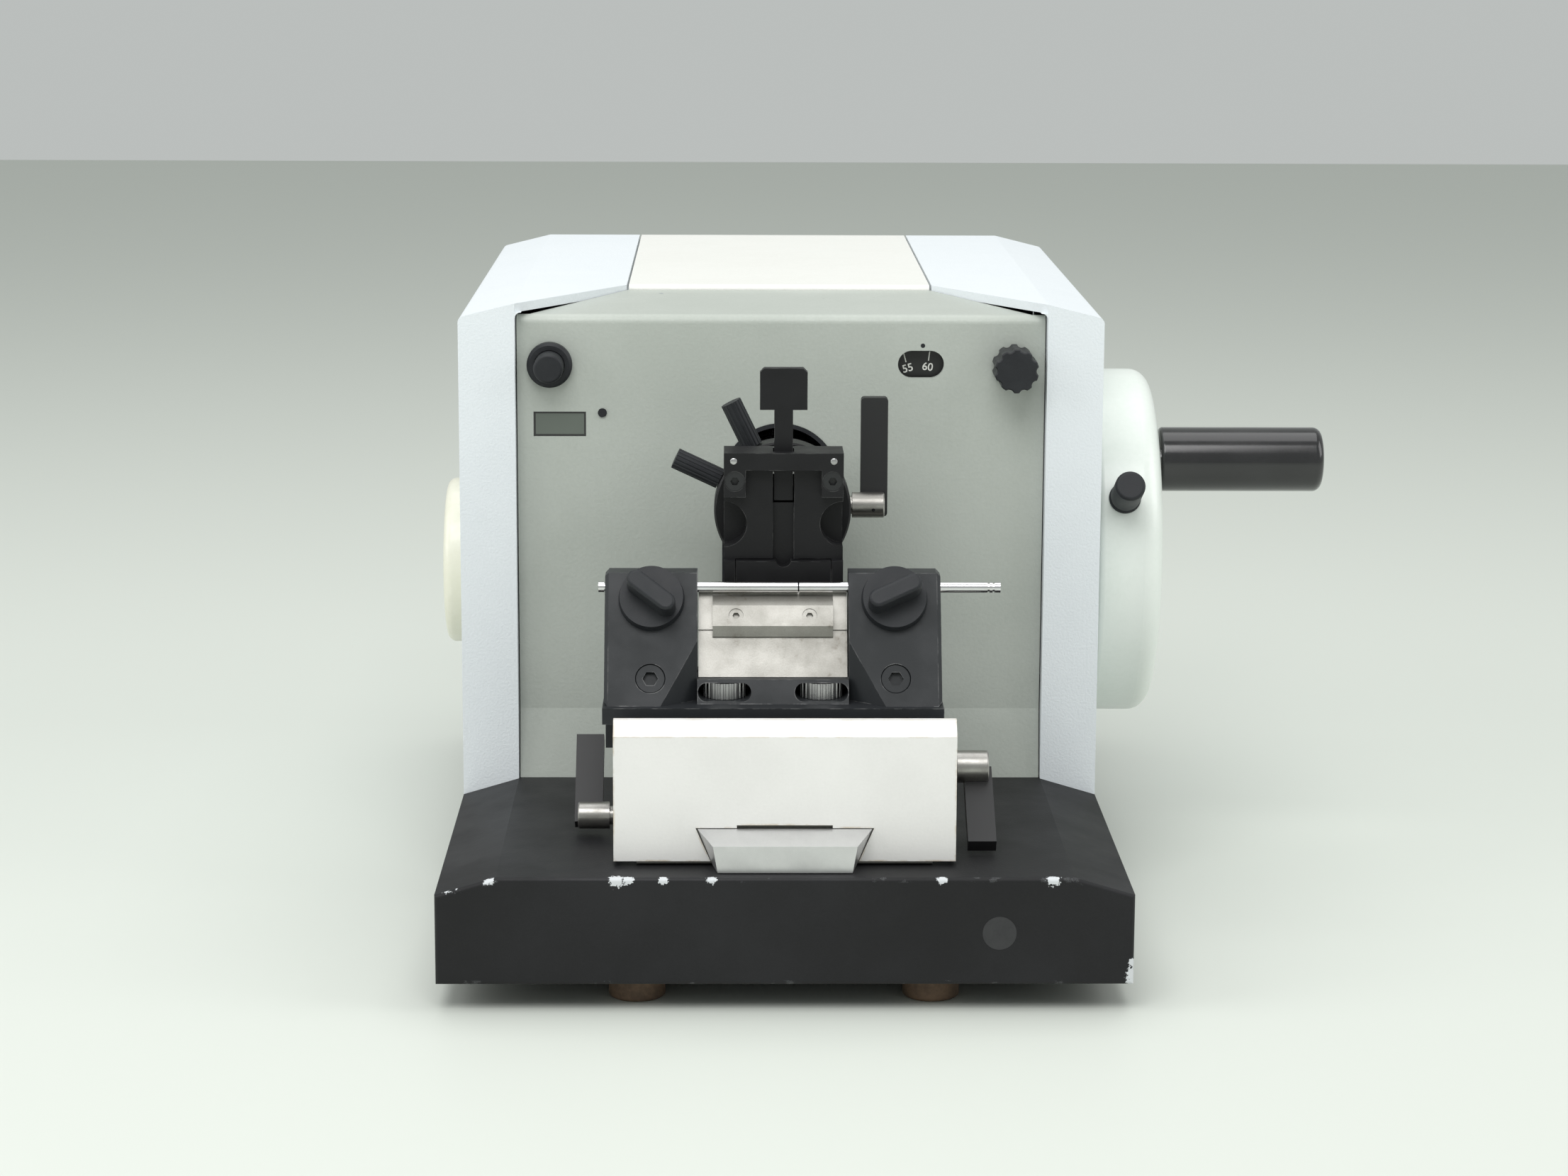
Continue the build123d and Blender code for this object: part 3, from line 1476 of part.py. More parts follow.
def side_lever(side, lever_y, lever_z, hub_radius, angle, length, flat):
    """A clamping lever beside the carrier. Side is -1 on the left and 1 on the right."""
    with BuildPart() as lever:
        with BuildSketch(facing_right(side * side_lever_start)):
            with Locations((lever_y, lever_z)):
                Circle(hub_radius)
        extrude(amount=side * side_lever_hub_length)
        fillet(lever.edges().sort_by(Axis.X)[-1 if side > 0 else 0], 0.8)
        with BuildSketch(facing_right(side * side_lever_shaft_end)):
            with Locations((lever_y, lever_z)):
                Circle(side_lever_shaft)
        extrude(amount=side * (side_lever_start - side_lever_shaft_end))
        bar_plane = Plane(
            origin=(side * side_lever_bar_start, lever_y, lever_z),
            x_dir=(0, cos(radians(angle)), sin(radians(angle))),
            z_dir=(1, 0, 0),
        )
        with BuildSketch(bar_plane):
            with Locations((-side_lever_tail, -flat)):
                Rectangle(
                    length + side_lever_tail,
                    side_lever_thickness,
                    align=(Align.MIN, Align.MAX if flat > 0 else Align.MIN),
                )
        extrude(amount=side * side_lever_width)
    return lever


pieces["left_lever"] = side_lever(
    -1,
    left_lever_y,
    left_lever_z,
    left_lever_hub,
    left_lever_angle,
    left_lever_length,
    left_lever_flat,
)
pieces["right_lever"] = side_lever(
    1,
    right_lever_y,
    right_lever_z,
    right_lever_hub,
    right_lever_angle,
    right_lever_length,
    -right_lever_flat,
)

# Cradle: its arc turns about the line of the knife edge, its key guides the holder sideways
with BuildPart() as cradle:
    with BuildSketch(facing_right(-cradle_half_width)):
        with Locations((cradle_front, cradle_top)):
            Rectangle(
                cradle_rear - cradle_front,
                knife_edge_z - cradle_top,
                align=(Align.MIN, Align.MAX),
            )
        with Locations((knife_edge_y, knife_edge_z)):
            Circle(cradle_radius, mode=Mode.INTERSECT)
    extrude(amount=2 * cradle_half_width)
    with Locations((0, key_y, cradle_top)):
        Box(
            2 * cradle_half_width,
            key_width,
            key_height,
            align=(Align.CENTER, Align.CENTER, Align.MIN),
        )
pieces["cradle"] = cradle

# Knife holder: slab with a pointer apron, two sloping blocks and the piece between them
with BuildPart() as holder_slab:
    with Locations((holder_x, slab_front, cradle_top)):
        Box(
            2 * slab_half_width,
            holder_rear - slab_front,
            slab_thickness,
            align=(Align.CENTER, Align.MIN, Align.MIN),
        )
    with Locations((holder_x - block_half_outer, apron_front, apron_bottom)):
        Box(
            apron_width,
            holder_rear - apron_front,
            cradle_top - apron_bottom,
            align=(Align.MIN, Align.MIN, Align.MIN),
        )
    with Locations((holder_x, key_y, cradle_top)):
        Box(
            2 * slab_half_width,
            key_width + 2 * slide_gap,
            key_height + slide_gap,
            align=(Align.CENTER, Align.CENTER, Align.MIN),
            mode=Mode.SUBTRACT,
        )
pieces["holder_slab"] = holder_slab

cut_start = face_plane.from_local_coords((block_cut_start, block_cut_low, 0))
cut_rise = face_plane.from_local_coords((block_half_inner, block_cut_rise, 0))
cut_inside = face_plane.from_local_coords((block_half_inner, block_cut_foot, -block_cut_depth))
cut_plane = Plane(
    origin=cut_start,
    x_dir=cut_rise - cut_start,
    z_dir=(cut_rise - cut_start).cross(cut_inside - cut_start),
)
with BuildPart() as holder_blocks:
    with BuildSketch(facing_right(holder_x + block_half_inner)):
        with BuildLine():
            Polyline(
                (face_foot_y, slab_top),
                (face_head_y, block_top),
                (holder_rear, block_top),
                (holder_rear, slab_top),
                close=True,
            )
        make_face()
    extrude(amount=block_half_outer - block_half_inner)
    chamfer(holder_blocks.faces().sort_by(Axis.X)[-1].edges(), block_edge)
    with BuildSketch(cut_plane):
        Rectangle(3 * block_cut_start, 3 * block_cut_start)
    extrude(amount=block_cut_start, mode=Mode.SUBTRACT)
    with BuildSketch(facing_right(holder_x + block_half_inner)):
        with Locations((rod_y, rod_z)):
            Circle(rod_radius + running_fit)
    extrude(amount=block_half_outer, mode=Mode.SUBTRACT)
    with BuildSketch(face_plane):
        with Locations((wing_x, wing_v)):
            Circle(wing_shank_radius + slide_gap)
    extrude(amount=-wing_shank_length - 1, mode=Mode.SUBTRACT)
    with BuildSketch(face_plane):
        with Locations((block_screw_x, block_screw_v)):
            Circle(block_screw_radius + slide_gap)
    extrude(amount=-block_screw_sink, mode=Mode.SUBTRACT)
    with BuildSketch(face_plane):
        with Locations((block_screw_x, block_screw_v)):
            Circle(block_screw_shank + running_fit)
    extrude(amount=-block_screw_sink - block_screw_length, mode=Mode.SUBTRACT)
    mirror(about=Plane.YZ.offset(holder_x))
pieces["holder_blocks"] = holder_blocks

with BuildPart() as block_screws:
    with BuildSketch(face_plane.offset(-block_screw_sink)):
        with Locations((-block_screw_x, block_screw_v), (block_screw_x, block_screw_v)):
            Circle(block_screw_radius)
    extrude(amount=block_screw_sink - 0.4)
    fillet(block_screws.edges().filter_by(GeomType.CIRCLE).group_by(face_axis)[-1], 0.5)
    with BuildSketch(face_plane.offset(-block_screw_sink + 0.8)):
        with Locations((-block_screw_x, block_screw_v), (block_screw_x, block_screw_v)):
            RegularPolygon(block_screw_radius * 0.52, 6)
    extrude(amount=block_screw_sink, mode=Mode.SUBTRACT)
    with BuildSketch(face_plane.offset(-block_screw_sink)):
        with Locations((-block_screw_x, block_screw_v), (block_screw_x, block_screw_v)):
            Circle(block_screw_shank)
    extrude(amount=-block_screw_length)
pieces["block_screws"] = block_screws

with BuildPart() as cross_piece:
    with BuildSketch(facing_right(holder_x - cross_half_width)):
        with BuildLine():
            Polyline(
                (face_foot_y + cross_setback / slope_z, slab_top),
                (face_foot_y + cross_setback / slope_z + (cross_top - slab_top) * slope_y / slope_z, cross_top),
                (cross_rear, cross_top),
                (cross_rear, slab_top),
                close=True,
            )
        make_face()
    extrude(amount=2 * cross_half_width)
    with BuildSketch(facing_front(face_y)):
        with Locations(
            (holder_x - pocket_spread / 2, pocket_low + pocket_height / 2),
            (holder_x + pocket_spread / 2, pocket_low + pocket_height / 2),
        ):
            SlotOverall(pocket_length, pocket_height)
    extrude(amount=face_y - pocket_rear, mode=Mode.SUBTRACT)
    with BuildSketch(Plane.XY.offset(slab_top)):
        with Locations(
            (holder_x - pocket_spread / 2, height_wheel_y),
            (holder_x + pocket_spread / 2, height_wheel_y),
        ):
            Circle(height_stud_radius + slide_gap)
    extrude(amount=cross_top - slab_top, mode=Mode.SUBTRACT)
pieces["cross_piece"] = cross_piece


def height_wheel(wheel_x):
    """A grooved wheel on an upright stud that raises the knife's support plate."""
    with BuildPart() as wheel:
        with BuildSketch(Plane.XY.offset(pocket_low + 2 * slide_gap)):
            with Locations((wheel_x, height_wheel_y)):
                Circle(height_wheel_radius)
                with PolarLocations(height_wheel_radius + 0.25, height_wheel_grooves):
                    Circle(0.7, mode=Mode.SUBTRACT)
        extrude(amount=pocket_height - 4 * slide_gap)
        with BuildSketch(Plane.XY.offset(slab_top + slide_gap)):
            with Locations((wheel_x, height_wheel_y)):
                Circle(height_stud_radius)
        extrude(amount=cross_top - slab_top - 2 * slide_gap)
    return wheel


pieces["left_height_wheel"] = height_wheel(holder_x - pocket_spread / 2)
pieces["right_height_wheel"] = height_wheel(holder_x + pocket_spread / 2)

with BuildPart() as support_plate:
    with BuildSketch(slope_profile(holder_x - plate_half_width)):
        with BuildLine():
            Polyline(
                (plate_low_v, -plate_setback),
                (plate_high_v, -plate_setback),
                (plate_high_v, plate_bevel - plate_setback - plate_thickness),
                (plate_high_v - plate_bevel, -plate_setback - plate_thickness),
                (plate_low_v, -plate_setback - plate_thickness),
                close=True,
            )
        make_face()
        with Locations((plate_groove_v, -plate_setback)):
            Rectangle(1.2, 1.6, mode=Mode.SUBTRACT)
    extrude(amount=2 * plate_half_width)
    with Locations((holder_x, holder_rear, cross_top + slide_gap)):
        Box(
            4 * plate_half_width,
            2 * plate_high_v,
            2 * plate_low_v,
            align=(Align.CENTER, Align.CENTER, Align.MAX),
            mode=Mode.SUBTRACT,
        )
    with BuildSketch(face_plane.offset(-plate_setback)):
        with Locations((-press_screw_x, press_screw_v), (press_screw_x, press_screw_v)):
            Circle(press_screw_radius / 2)
    extrude(amount=-plate_thickness / 2, mode=Mode.SUBTRACT)
pieces["support_plate"] = support_plate

with BuildPart() as pressure_plate:
    with BuildSketch(slope_profile(holder_x - press_half_width)):
        with BuildLine():
            Polyline(
                (press_low_v, -plate_setback),
                (press_low_v, 1 - plate_setback),
                (press_face_low_v, press_thickness - plate_setback),
                (press_face_high_v, press_thickness - plate_setback),
                (press_high_v, -plate_setback),
                close=True,
            )
        make_face()
    extrude(amount=2 * press_half_width)
    with BuildSketch(face_plane.offset(-plate_setback + 1)):
        with Locations((-press_screw_x, press_screw_v), (press_screw_x, press_screw_v)):
            Circle(press_screw_radius + running_fit)
    extrude(amount=press_thickness, mode=Mode.SUBTRACT)
    with BuildSketch(face_plane.offset(-plate_setback)):
        with Locations((-press_screw_x, press_screw_v), (press_screw_x, press_screw_v)):
            Circle(press_screw_radius / 2)
    extrude(amount=press_thickness, mode=Mode.SUBTRACT)
    with BuildSketch(face_plane.offset(-plate_setback + 1)):
        with Locations((-press_screw_x, press_screw_v), (press_screw_x, press_screw_v)):
            Circle(press_screw_radius)
            RegularPolygon(press_screw_radius * 0.5, 6, mode=Mode.SUBTRACT)
    extrude(amount=press_thickness - 1.4)
    with BuildSketch(face_plane.offset(-plate_setback + 1)):
        with Locations((-press_screw_x, press_screw_v), (press_screw_x, press_screw_v)):
            Circle(press_screw_radius)
    extrude(amount=0.8)
    with BuildSketch(face_plane.offset(-plate_setback + 1)):
        with Locations((-press_screw_x, press_screw_v), (press_screw_x, press_screw_v)):
            Circle(press_screw_radius / 2 - running_fit)
    extrude(amount=-plate_thickness / 2)
pieces["pressure_plate"] = pressure_plate


def wing_knob(side, bar_turn):
    """A winged clamping knob on one block's sloping face. Side is -1 left and 1 right."""
    with BuildPart() as knob:
        with BuildSketch(face_plane.offset(seat_gap)):
            with Locations((side * wing_x, wing_v)):
                Circle(wing_base_radius)
        extrude(amount=wing_base_height, taper=8)
        with BuildSketch(face_plane.offset(seat_gap + wing_base_height)):
            with Locations((side * wing_x, wing_v)):
                SlotOverall(wing_length, wing_width, rotation=bar_turn)
        extrude(amount=wing_height)
        fillet(knob.faces().sort_by(face_axis)[-1].edges(), 1.5)
        with BuildSketch(face_plane.offset(seat_gap)):
            with Locations((side * wing_x, wing_v)):
                Circle(wing_shank_radius)
        extrude(amount=-wing_shank_length)
    return knob


pieces["left_wing_knob"] = wing_knob(-1, wing_angles[0])
pieces["right_wing_knob"] = wing_knob(1, wing_angles[1])


def guard_rod(outer_x, inner_x):
    """A finger guard rod, grooved near both ends, that slides out through one block."""
    inwards = 1 if inner_x > outer_x else -1
    with BuildPart() as rod:
        with BuildSketch(facing_right(outer_x)):
            with Locations((rod_y, rod_z)):
                Circle(rod_radius)
        extrude(amount=inner_x - outer_x)
        for groove_place in rod_groove_places:
            with BuildSketch(facing_right(outer_x + inwards * groove_place)):
                with Locations((rod_y, rod_z)):
                    Circle(rod_radius + rod_groove_depth)
                    Circle(rod_radius - rod_groove_depth, mode=Mode.SUBTRACT)
            extrude(amount=inwards * rod_groove_width, mode=Mode.SUBTRACT)
    return rod


pieces["left_guard_rod"] = guard_rod(rod_left_end, rod_meeting - seat_gap)
pieces["right_guard_rod"] = guard_rod(rod_right_end, rod_meeting + seat_gap)

# The origin moves to the table under the middle of the machine's whole length and depth
handle_end = wheel_outer_x + wheel_gap + handle_length
coarse_end = half_width + wheel_gap + coarse_width
to_origin = Location(((coarse_end - handle_end) / 2, -(base_front + base_rear) / 2, 0))
os.makedirs("parts", exist_ok=True)
for piece_name, piece in pieces.items():
    piece.part.move(to_origin)
    piece.part.label = piece_name
    export_step(piece.part, "parts/" + piece_name + ".step")
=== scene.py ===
import math

import bpy
from mathutils import Matrix, Vector


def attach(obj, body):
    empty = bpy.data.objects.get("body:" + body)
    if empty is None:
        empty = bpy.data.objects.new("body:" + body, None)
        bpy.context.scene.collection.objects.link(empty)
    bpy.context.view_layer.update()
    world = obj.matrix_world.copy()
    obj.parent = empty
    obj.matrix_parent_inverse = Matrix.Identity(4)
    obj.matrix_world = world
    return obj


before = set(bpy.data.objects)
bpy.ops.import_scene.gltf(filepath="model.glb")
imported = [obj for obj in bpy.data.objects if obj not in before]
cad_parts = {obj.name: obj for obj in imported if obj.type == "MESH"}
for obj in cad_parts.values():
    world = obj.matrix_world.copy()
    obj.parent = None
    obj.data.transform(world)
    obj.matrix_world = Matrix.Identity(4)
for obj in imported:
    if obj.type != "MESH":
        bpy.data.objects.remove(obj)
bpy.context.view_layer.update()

# The table and the studio light.
# The machine stands on a plain, pale grey-green bench top under broad, soft lamps: one over the
# operator's head, one at each side and one straight above.
bpy.ops.object.select_all(action="DESELECT")
bpy.ops.mesh.primitive_grid_add(x_subdivisions=8, y_subdivisions=8, size=9)
bench_top = bpy.context.object
bench_top.name = "bench_top"
bench_finish = bpy.data.materials.new("bench_laminate")
bench_finish.use_nodes = True
bench_shader = bench_finish.node_tree.nodes["Principled BSDF"]
bench_shader.inputs["Base Color"].default_value = (0.66, 0.69, 0.64, 1)
bench_shader.inputs["Roughness"].default_value = 0.55
bench_top.data.materials.append(bench_finish)

world = bpy.data.worlds.new("studio_air")
bpy.context.scene.world = world
world.use_nodes = True
world.node_tree.nodes["Background"].inputs["Color"].default_value = (0.90, 0.94, 0.92, 1)
world.node_tree.nodes["Background"].inputs["Strength"].default_value = 0.55


def soft_lamp(name, place, aim, width, height, power):
    """A broad area lamp that shines from one place towards another."""
    bpy.ops.object.light_add(type="AREA", location=place)
    lamp = bpy.context.object
    lamp.name = name
    lamp.data.shape = "RECTANGLE"
    lamp.data.size = width
    lamp.data.size_y = height
    lamp.data.energy = power
    lamp.rotation_euler = (Vector(aim) - Vector(place)).to_track_quat("-Z", "Y").to_euler()


soft_lamp("lamp_over_operator", (-0.3, -1.5, 1.9), (0, 0, 0.12), 1.6, 1.1, 26)
soft_lamp("lamp_left", (-1.8, -0.6, 1.1), (0, 0, 0.15), 1.2, 1.4, 12)
soft_lamp("lamp_right", (1.9, -0.5, 1.2), (0, 0, 0.15), 1.2, 1.4, 12)
soft_lamp("lamp_above", (0, 0.3, 2.2), (0, 0.1, 0), 2.0, 1.6, 16)

# The camera.
# It stands where the photograph was taken from: just left of the middle, above the machine and
# looking down at it a little.
photo_width = 2212
focal_pixels = 5000
pitch = 0.19356
yaw = -0.0159
roll = 0.00424
level_right = Vector((math.cos(yaw), math.sin(yaw), 0))
level_ahead = Vector((-math.sin(yaw), math.cos(yaw), 0))
ahead = level_ahead * math.cos(pitch) - Vector((0, 0, math.sin(pitch)))
level_up = level_right.cross(ahead)
right = level_right * math.cos(roll) + level_up * math.sin(roll)
up = level_up * math.cos(roll) - level_right * math.sin(roll)
bpy.ops.object.camera_add(location=(-0.07204, -1.65994, 0.45677))
camera = bpy.context.object
camera.name = "photo_camera"
camera.data.sensor_width = 36
camera.data.lens = focal_pixels * 36 / photo_width
camera.data.clip_end = 50
camera.rotation_euler = Matrix((right, up, -ahead)).transposed().to_euler()
bpy.context.scene.camera = camera
bpy.context.scene.view_settings.view_transform = "Standard"


# The sheet-metal covers.
# Steel side, top and rear covers in fine-textured stove enamel. The side covers are a cold bluish
# white, and the top strip has yellowed to a warmer white.
def new_group(name, given, made):
    """An empty shader node group with its named sockets and its two end nodes."""
    group = bpy.data.node_groups.new(name, "ShaderNodeTree")
    for title, kind, value in given:
        socket = group.interface.new_socket(name=title, in_out="INPUT", socket_type=kind)
        socket.default_value = value
    for title, kind in made:
        group.interface.new_socket(name=title, in_out="OUTPUT", socket_type=kind)
    return group, group.nodes.new("NodeGroupInput"), group.nodes.new("NodeGroupOutput")


def noise(group, scale, detail, roughness=0.5):
    """A noise texture on Object coordinates. Scale is a number or a socket."""
    texture = group.nodes.new("ShaderNodeTexNoise")
    place = group.nodes.new("ShaderNodeTexCoord")
    group.links.new(place.outputs["Object"], texture.inputs["Vector"])
    texture.inputs["Detail"].default_value = detail
    texture.inputs["Roughness"].default_value = roughness
    if isinstance(scale, (int, float)):
        texture.inputs["Scale"].default_value = scale
    else:
        group.links.new(scale, texture.inputs["Scale"])
    return texture.outputs["Fac"]


def spread(group, value, low, high, to_low=0.0, to_high=1.0):
    """Carries a value from one range smoothly to another. Each end is a number or a socket."""
    node = group.nodes.new("ShaderNodeMapRange")
    node.interpolation_type = "SMOOTHSTEP"
    group.links.new(value, node.inputs["Value"])
    ends = {"From Min": low, "From Max": high, "To Min": to_low, "To Max": to_high}
    for title, end in ends.items():
        if isinstance(end, (int, float)):
            node.inputs[title].default_value = end
        else:
            group.links.new(end, node.inputs[title])
    return node.outputs["Result"]


def join(group, kind, first, second):
    """One math node on two values, each a number or a socket."""
    node = group.nodes.new("ShaderNodeMath")
    node.operation = kind
    for socket, value in zip(node.inputs, (first, second)):
        if isinstance(value, (int, float)):
            socket.default_value = value
        else:
            group.links.new(value, socket)
    return node.outputs["Value"]


def blend_colours(group, mask, under, over):
    """Lays one colour over another where the mask is white."""
    node = group.nodes.new("ShaderNodeMix")
    node.data_type = "RGBA"
    group.links.new(mask, node.inputs["Factor"])
    for socket, colour in ((node.inputs[6], under), (node.inputs[7], over)):
        if isinstance(colour, tuple):
            socket.default_value = (*colour, 1)
        else:
            group.links.new(colour, socket)
    return node.outputs[2]


skin_group, skin_in, skin_out = new_group(
    "worn_skin",
    [
        ("Grain", "NodeSocketFloat", 900.0),
        ("Cloud", "NodeSocketFloat", 7.0),
        ("Light", "NodeSocketColor", (0.8, 0.8, 0.8, 1)),
        ("Dark", "NodeSocketColor", (0.7, 0.7, 0.7, 1)),
        ("Rough low", "NodeSocketFloat", 0.4),
        ("Rough high", "NodeSocketFloat", 0.6),
    ],
    [("Color", "NodeSocketColor"), ("Roughness", "NodeSocketFloat"), ("Height", "NodeSocketFloat")],
)
cloud = noise(skin_group, skin_in.outputs["Cloud"], 5.0, 0.6)
grain = noise(skin_group, skin_in.outputs["Grain"], 2.0, 0.55)
hazy = join(
    skin_group,
    "ADD",
    join(skin_group, "MULTIPLY", cloud, 0.8),
    join(skin_group, "MULTIPLY", grain, 0.2),
)
skin_group.links.new(
    blend_colours(
        skin_group,
        spread(skin_group, hazy, 0.35, 0.65),
        skin_in.outputs["Light"],
        skin_in.outputs["Dark"],
    ),
    skin_out.inputs["Color"],
)
skin_group.links.new(
    spread(skin_group, cloud, 0.3, 0.7, skin_in.outputs["Rough low"], skin_in.outputs["Rough high"]),
    skin_out.inputs["Roughness"],
)
skin_group.links.new(grain, skin_out.inputs["Height"])


def place_group(tree, group, values):
    """A node group in a material's tree, with its own values."""
    node = tree.nodes.new("ShaderNodeGroup")
    node.node_tree = group
    for title, value in values.items():
        node.inputs[title].default_value = value
    return node


def skin(
    name, light, dark, grain_size, cloud_size, rough, relief, metallic=0.0, coat=0.0, shine=0.5
):
    """A material with clouded colour, uneven gloss and a fine raised grain. Sizes in metres."""
    material = bpy.data.materials.new(name)
    material.use_nodes = True
    tree = material.node_tree
    shader = tree.nodes["Principled BSDF"]
    shader.inputs["Metallic"].default_value = metallic
    shader.inputs["Coat Weight"].default_value = coat
    shader.inputs["Coat Roughness"].default_value = 0.12
    shader.inputs["Specular IOR Level"].default_value = shine
    surface = place_group(
        tree,
        skin_group,
        {
            "Grain": 1 / grain_size,
            "Cloud": 1 / cloud_size,
            "Light": (*light, 1),
            "Dark": (*dark, 1),
            "Rough low": rough[0],
            "Rough high": rough[1],
        },
    )
    bump = tree.nodes.new("ShaderNodeBump")
    bump.inputs["Distance"].default_value = relief
    bump.inputs["Strength"].default_value = 1.0
    tree.links.new(surface.outputs["Height"], bump.inputs["Height"])
    tree.links.new(surface.outputs["Color"], shader.inputs["Base Color"])
    tree.links.new(surface.outputs["Roughness"], shader.inputs["Roughness"])
    tree.links.new(bump.outputs["Normal"], shader.inputs["Normal"])
    return material


def dress(material, *nodes):
    """Gives carried-over CAD nodes their material."""
    for node in nodes:
        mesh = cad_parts[node].data
        mesh.materials.clear()
        mesh.materials.append(material)


cover_enamel = skin(
    "cover_enamel",
    light=(0.80, 0.84, 0.87),
    dark=(0.74, 0.78, 0.81),
    grain_size=0.0011,
    cloud_size=0.16,
    rough=(0.42, 0.56),
    relief=0.00016,
    coat=0.1,
)
dress(cover_enamel, "left_side_cover", "right_side_cover", "rear_cover")
top_enamel = skin(
    "top_enamel",
    light=(0.83, 0.83, 0.79),
    dark=(0.77, 0.77, 0.73),
    grain_size=0.0013,
    cloud_size=0.12,
    rough=(0.42, 0.55),
    relief=0.00014,
    coat=0.1,
)
dress(top_enamel, "top_cover")

# The front panel.
# Folded sheet in grey-green orange-peel paint. Its top bend has small scuffs where hands have
# rubbed it, and the sloping toe at its foot catches more light.
past_group, past_in, past_out = new_group(
    "past_plane",
    [
        ("Direction", "NodeSocketVector", (0, 0, 1)),
        ("Limit", "NodeSocketFloat", 0.0),
        ("Softness", "NodeSocketFloat", 0.0002),
    ],
    [("Mask", "NodeSocketFloat")],
)
past_place = past_group.nodes.new("ShaderNodeTexCoord")
past_reach = past_group.nodes.new("ShaderNodeVectorMath")
past_reach.operation = "DOT_PRODUCT"
past_group.links.new(past_place.outputs["Object"], past_reach.inputs[0])
past_group.links.new(past_in.outputs["Direction"], past_reach.inputs[1])
past_group.links.new(
    spread(
        past_group,
        past_reach.outputs["Value"],
        join(past_group, "SUBTRACT", past_in.outputs["Limit"], past_in.outputs["Softness"]),
        join(past_group, "ADD", past_in.outputs["Limit"], past_in.outputs["Softness"]),
    ),
    past_out.inputs["Mask"],
)


def past_plane(tree, direction, limit, softness=0.0001):
    """Mask of what lies past a plane, given by its direction and its distance from the origin."""
    values = {"Direction": direction, "Limit": limit, "Softness": softness}
    return place_group(tree, past_group, values).outputs["Mask"]


def cover_with(material, mask, colour, roughness=None):
    """Lays a colour, and a roughness, over a material where the mask is white."""
    tree = material.node_tree
    shader = tree.nodes["Principled BSDF"]
    under = shader.inputs["Base Color"].links[0].from_socket
    tree.links.new(blend_colours(tree, mask, under, colour), shader.inputs["Base Color"])
    if roughness is not None:
        was = shader.inputs["Roughness"].links[0].from_socket
        tree.links.new(spread(tree, mask, 0.0, 1.0, was, roughness), shader.inputs["Roughness"])


def not_metal(material, mask):
    """Takes the metal look away where the mask is white."""
    tree = material.node_tree
    shader = tree.nodes["Principled BSDF"]
    tree.links.new(spread(tree, mask, 0.0, 1.0, 1.0, 0.0), shader.inputs["Metallic"])


panel_paint = skin(
    "panel_paint",
    light=(0.47, 0.50, 0.46),
    dark=(0.42, 0.45, 0.41),
    grain_size=0.0016,
    cloud_size=0.13,
    rough=(0.38, 0.5),
    relief=0.00012,
    coat=0.05,
)
panel_tree = panel_paint.node_tree
bend_z = 0.2685
scuff_places = noise(panel_tree, 30.0, 4.0, 0.65)
scuffs = join(
    panel_tree,
    "MULTIPLY",
    spread(panel_tree, scuff_places, 0.66, 0.69),
    past_plane(panel_tree, (0, 0, 1), bend_z, 0.001),
)
cover_with(panel_paint, scuffs, (0.27, 0.30, 0.31), 0.5)
dress(panel_paint, "front_panel")

# The base casting.
# A heavy casting in matte charcoal paint, chipped to bare light metal along its front edges and
# worst at the lower right corner, where it has been set down.
wear_group, wear_in, wear_out = new_group(
    "edge_wear",
    [
        ("Reach", "NodeSocketFloat", 0.0015),
        ("Break scale", "NodeSocketFloat", 60.0),
        ("Break low", "NodeSocketFloat", 0.55),
        ("Break high", "NodeSocketFloat", 0.6),
    ],
    [("Mask", "NodeSocketFloat")],
)
wear_bevel = wear_group.nodes.new("ShaderNodeBevel")
wear_bevel.samples = 6
wear_group.links.new(wear_in.outputs["Reach"], wear_bevel.inputs["Radius"])
wear_facing = wear_group.nodes.new("ShaderNodeNewGeometry")
wear_turn = wear_group.nodes.new("ShaderNodeVectorMath")
wear_turn.operation = "DOT_PRODUCT"
wear_group.links.new(wear_bevel.outputs["Normal"], wear_turn.inputs[0])
wear_group.links.new(wear_facing.outputs["Normal"], wear_turn.inputs[1])
edge_strength = spread(wear_group, wear_turn.outputs["Value"], 0.995, 0.9, 0.0, 1.0)
broken = spread(
    wear_group,
    noise(wear_group, wear_in.outputs["Break scale"], 6.0, 0.65),
    wear_in.outputs["Break low"],
    wear_in.outputs["Break high"],
)
wear_group.links.new(join(wear_group, "MULTIPLY", edge_strength, broken), wear_out.inputs["Mask"])


def edge_wear(tree, reach, break_size, low, high):
    """Mask of edges that are worn through in patches. Sizes in metres."""
    values = {"Reach": reach, "Break scale": 1 / break_size, "Break low": low, "Break high": high}
    return place_group(tree, wear_group, values).outputs["Mask"]


chip_group, chip_in, chip_out = new_group(
    "chip_spot",
    [
        ("Middle", "NodeSocketVector", (0, 0, 0)),
        ("Width", "NodeSocketFloat", 0.004),
        ("Grain", "NodeSocketFloat", 0.5),
    ],
    [("Mask", "NodeSocketFloat")],
)
chip_place = chip_group.nodes.new("ShaderNodeTexCoord")
chip_span = chip_group.nodes.new("ShaderNodeVectorMath")
chip_span.operation = "DISTANCE"
chip_group.links.new(chip_place.outputs["Object"], chip_span.inputs[0])
chip_group.links.new(chip_in.outputs["Middle"], chip_span.inputs[1])
chip_reach = join(chip_group, "DIVIDE", chip_span.outputs["Value"], chip_in.outputs["Width"])
chip_ragged = join(chip_group, "ADD", chip_reach, chip_in.outputs["Grain"])
chip_group.links.new(spread(chip_group, chip_ragged, 1.0, 0.92), chip_out.inputs["Mask"])


base_front = -0.2476


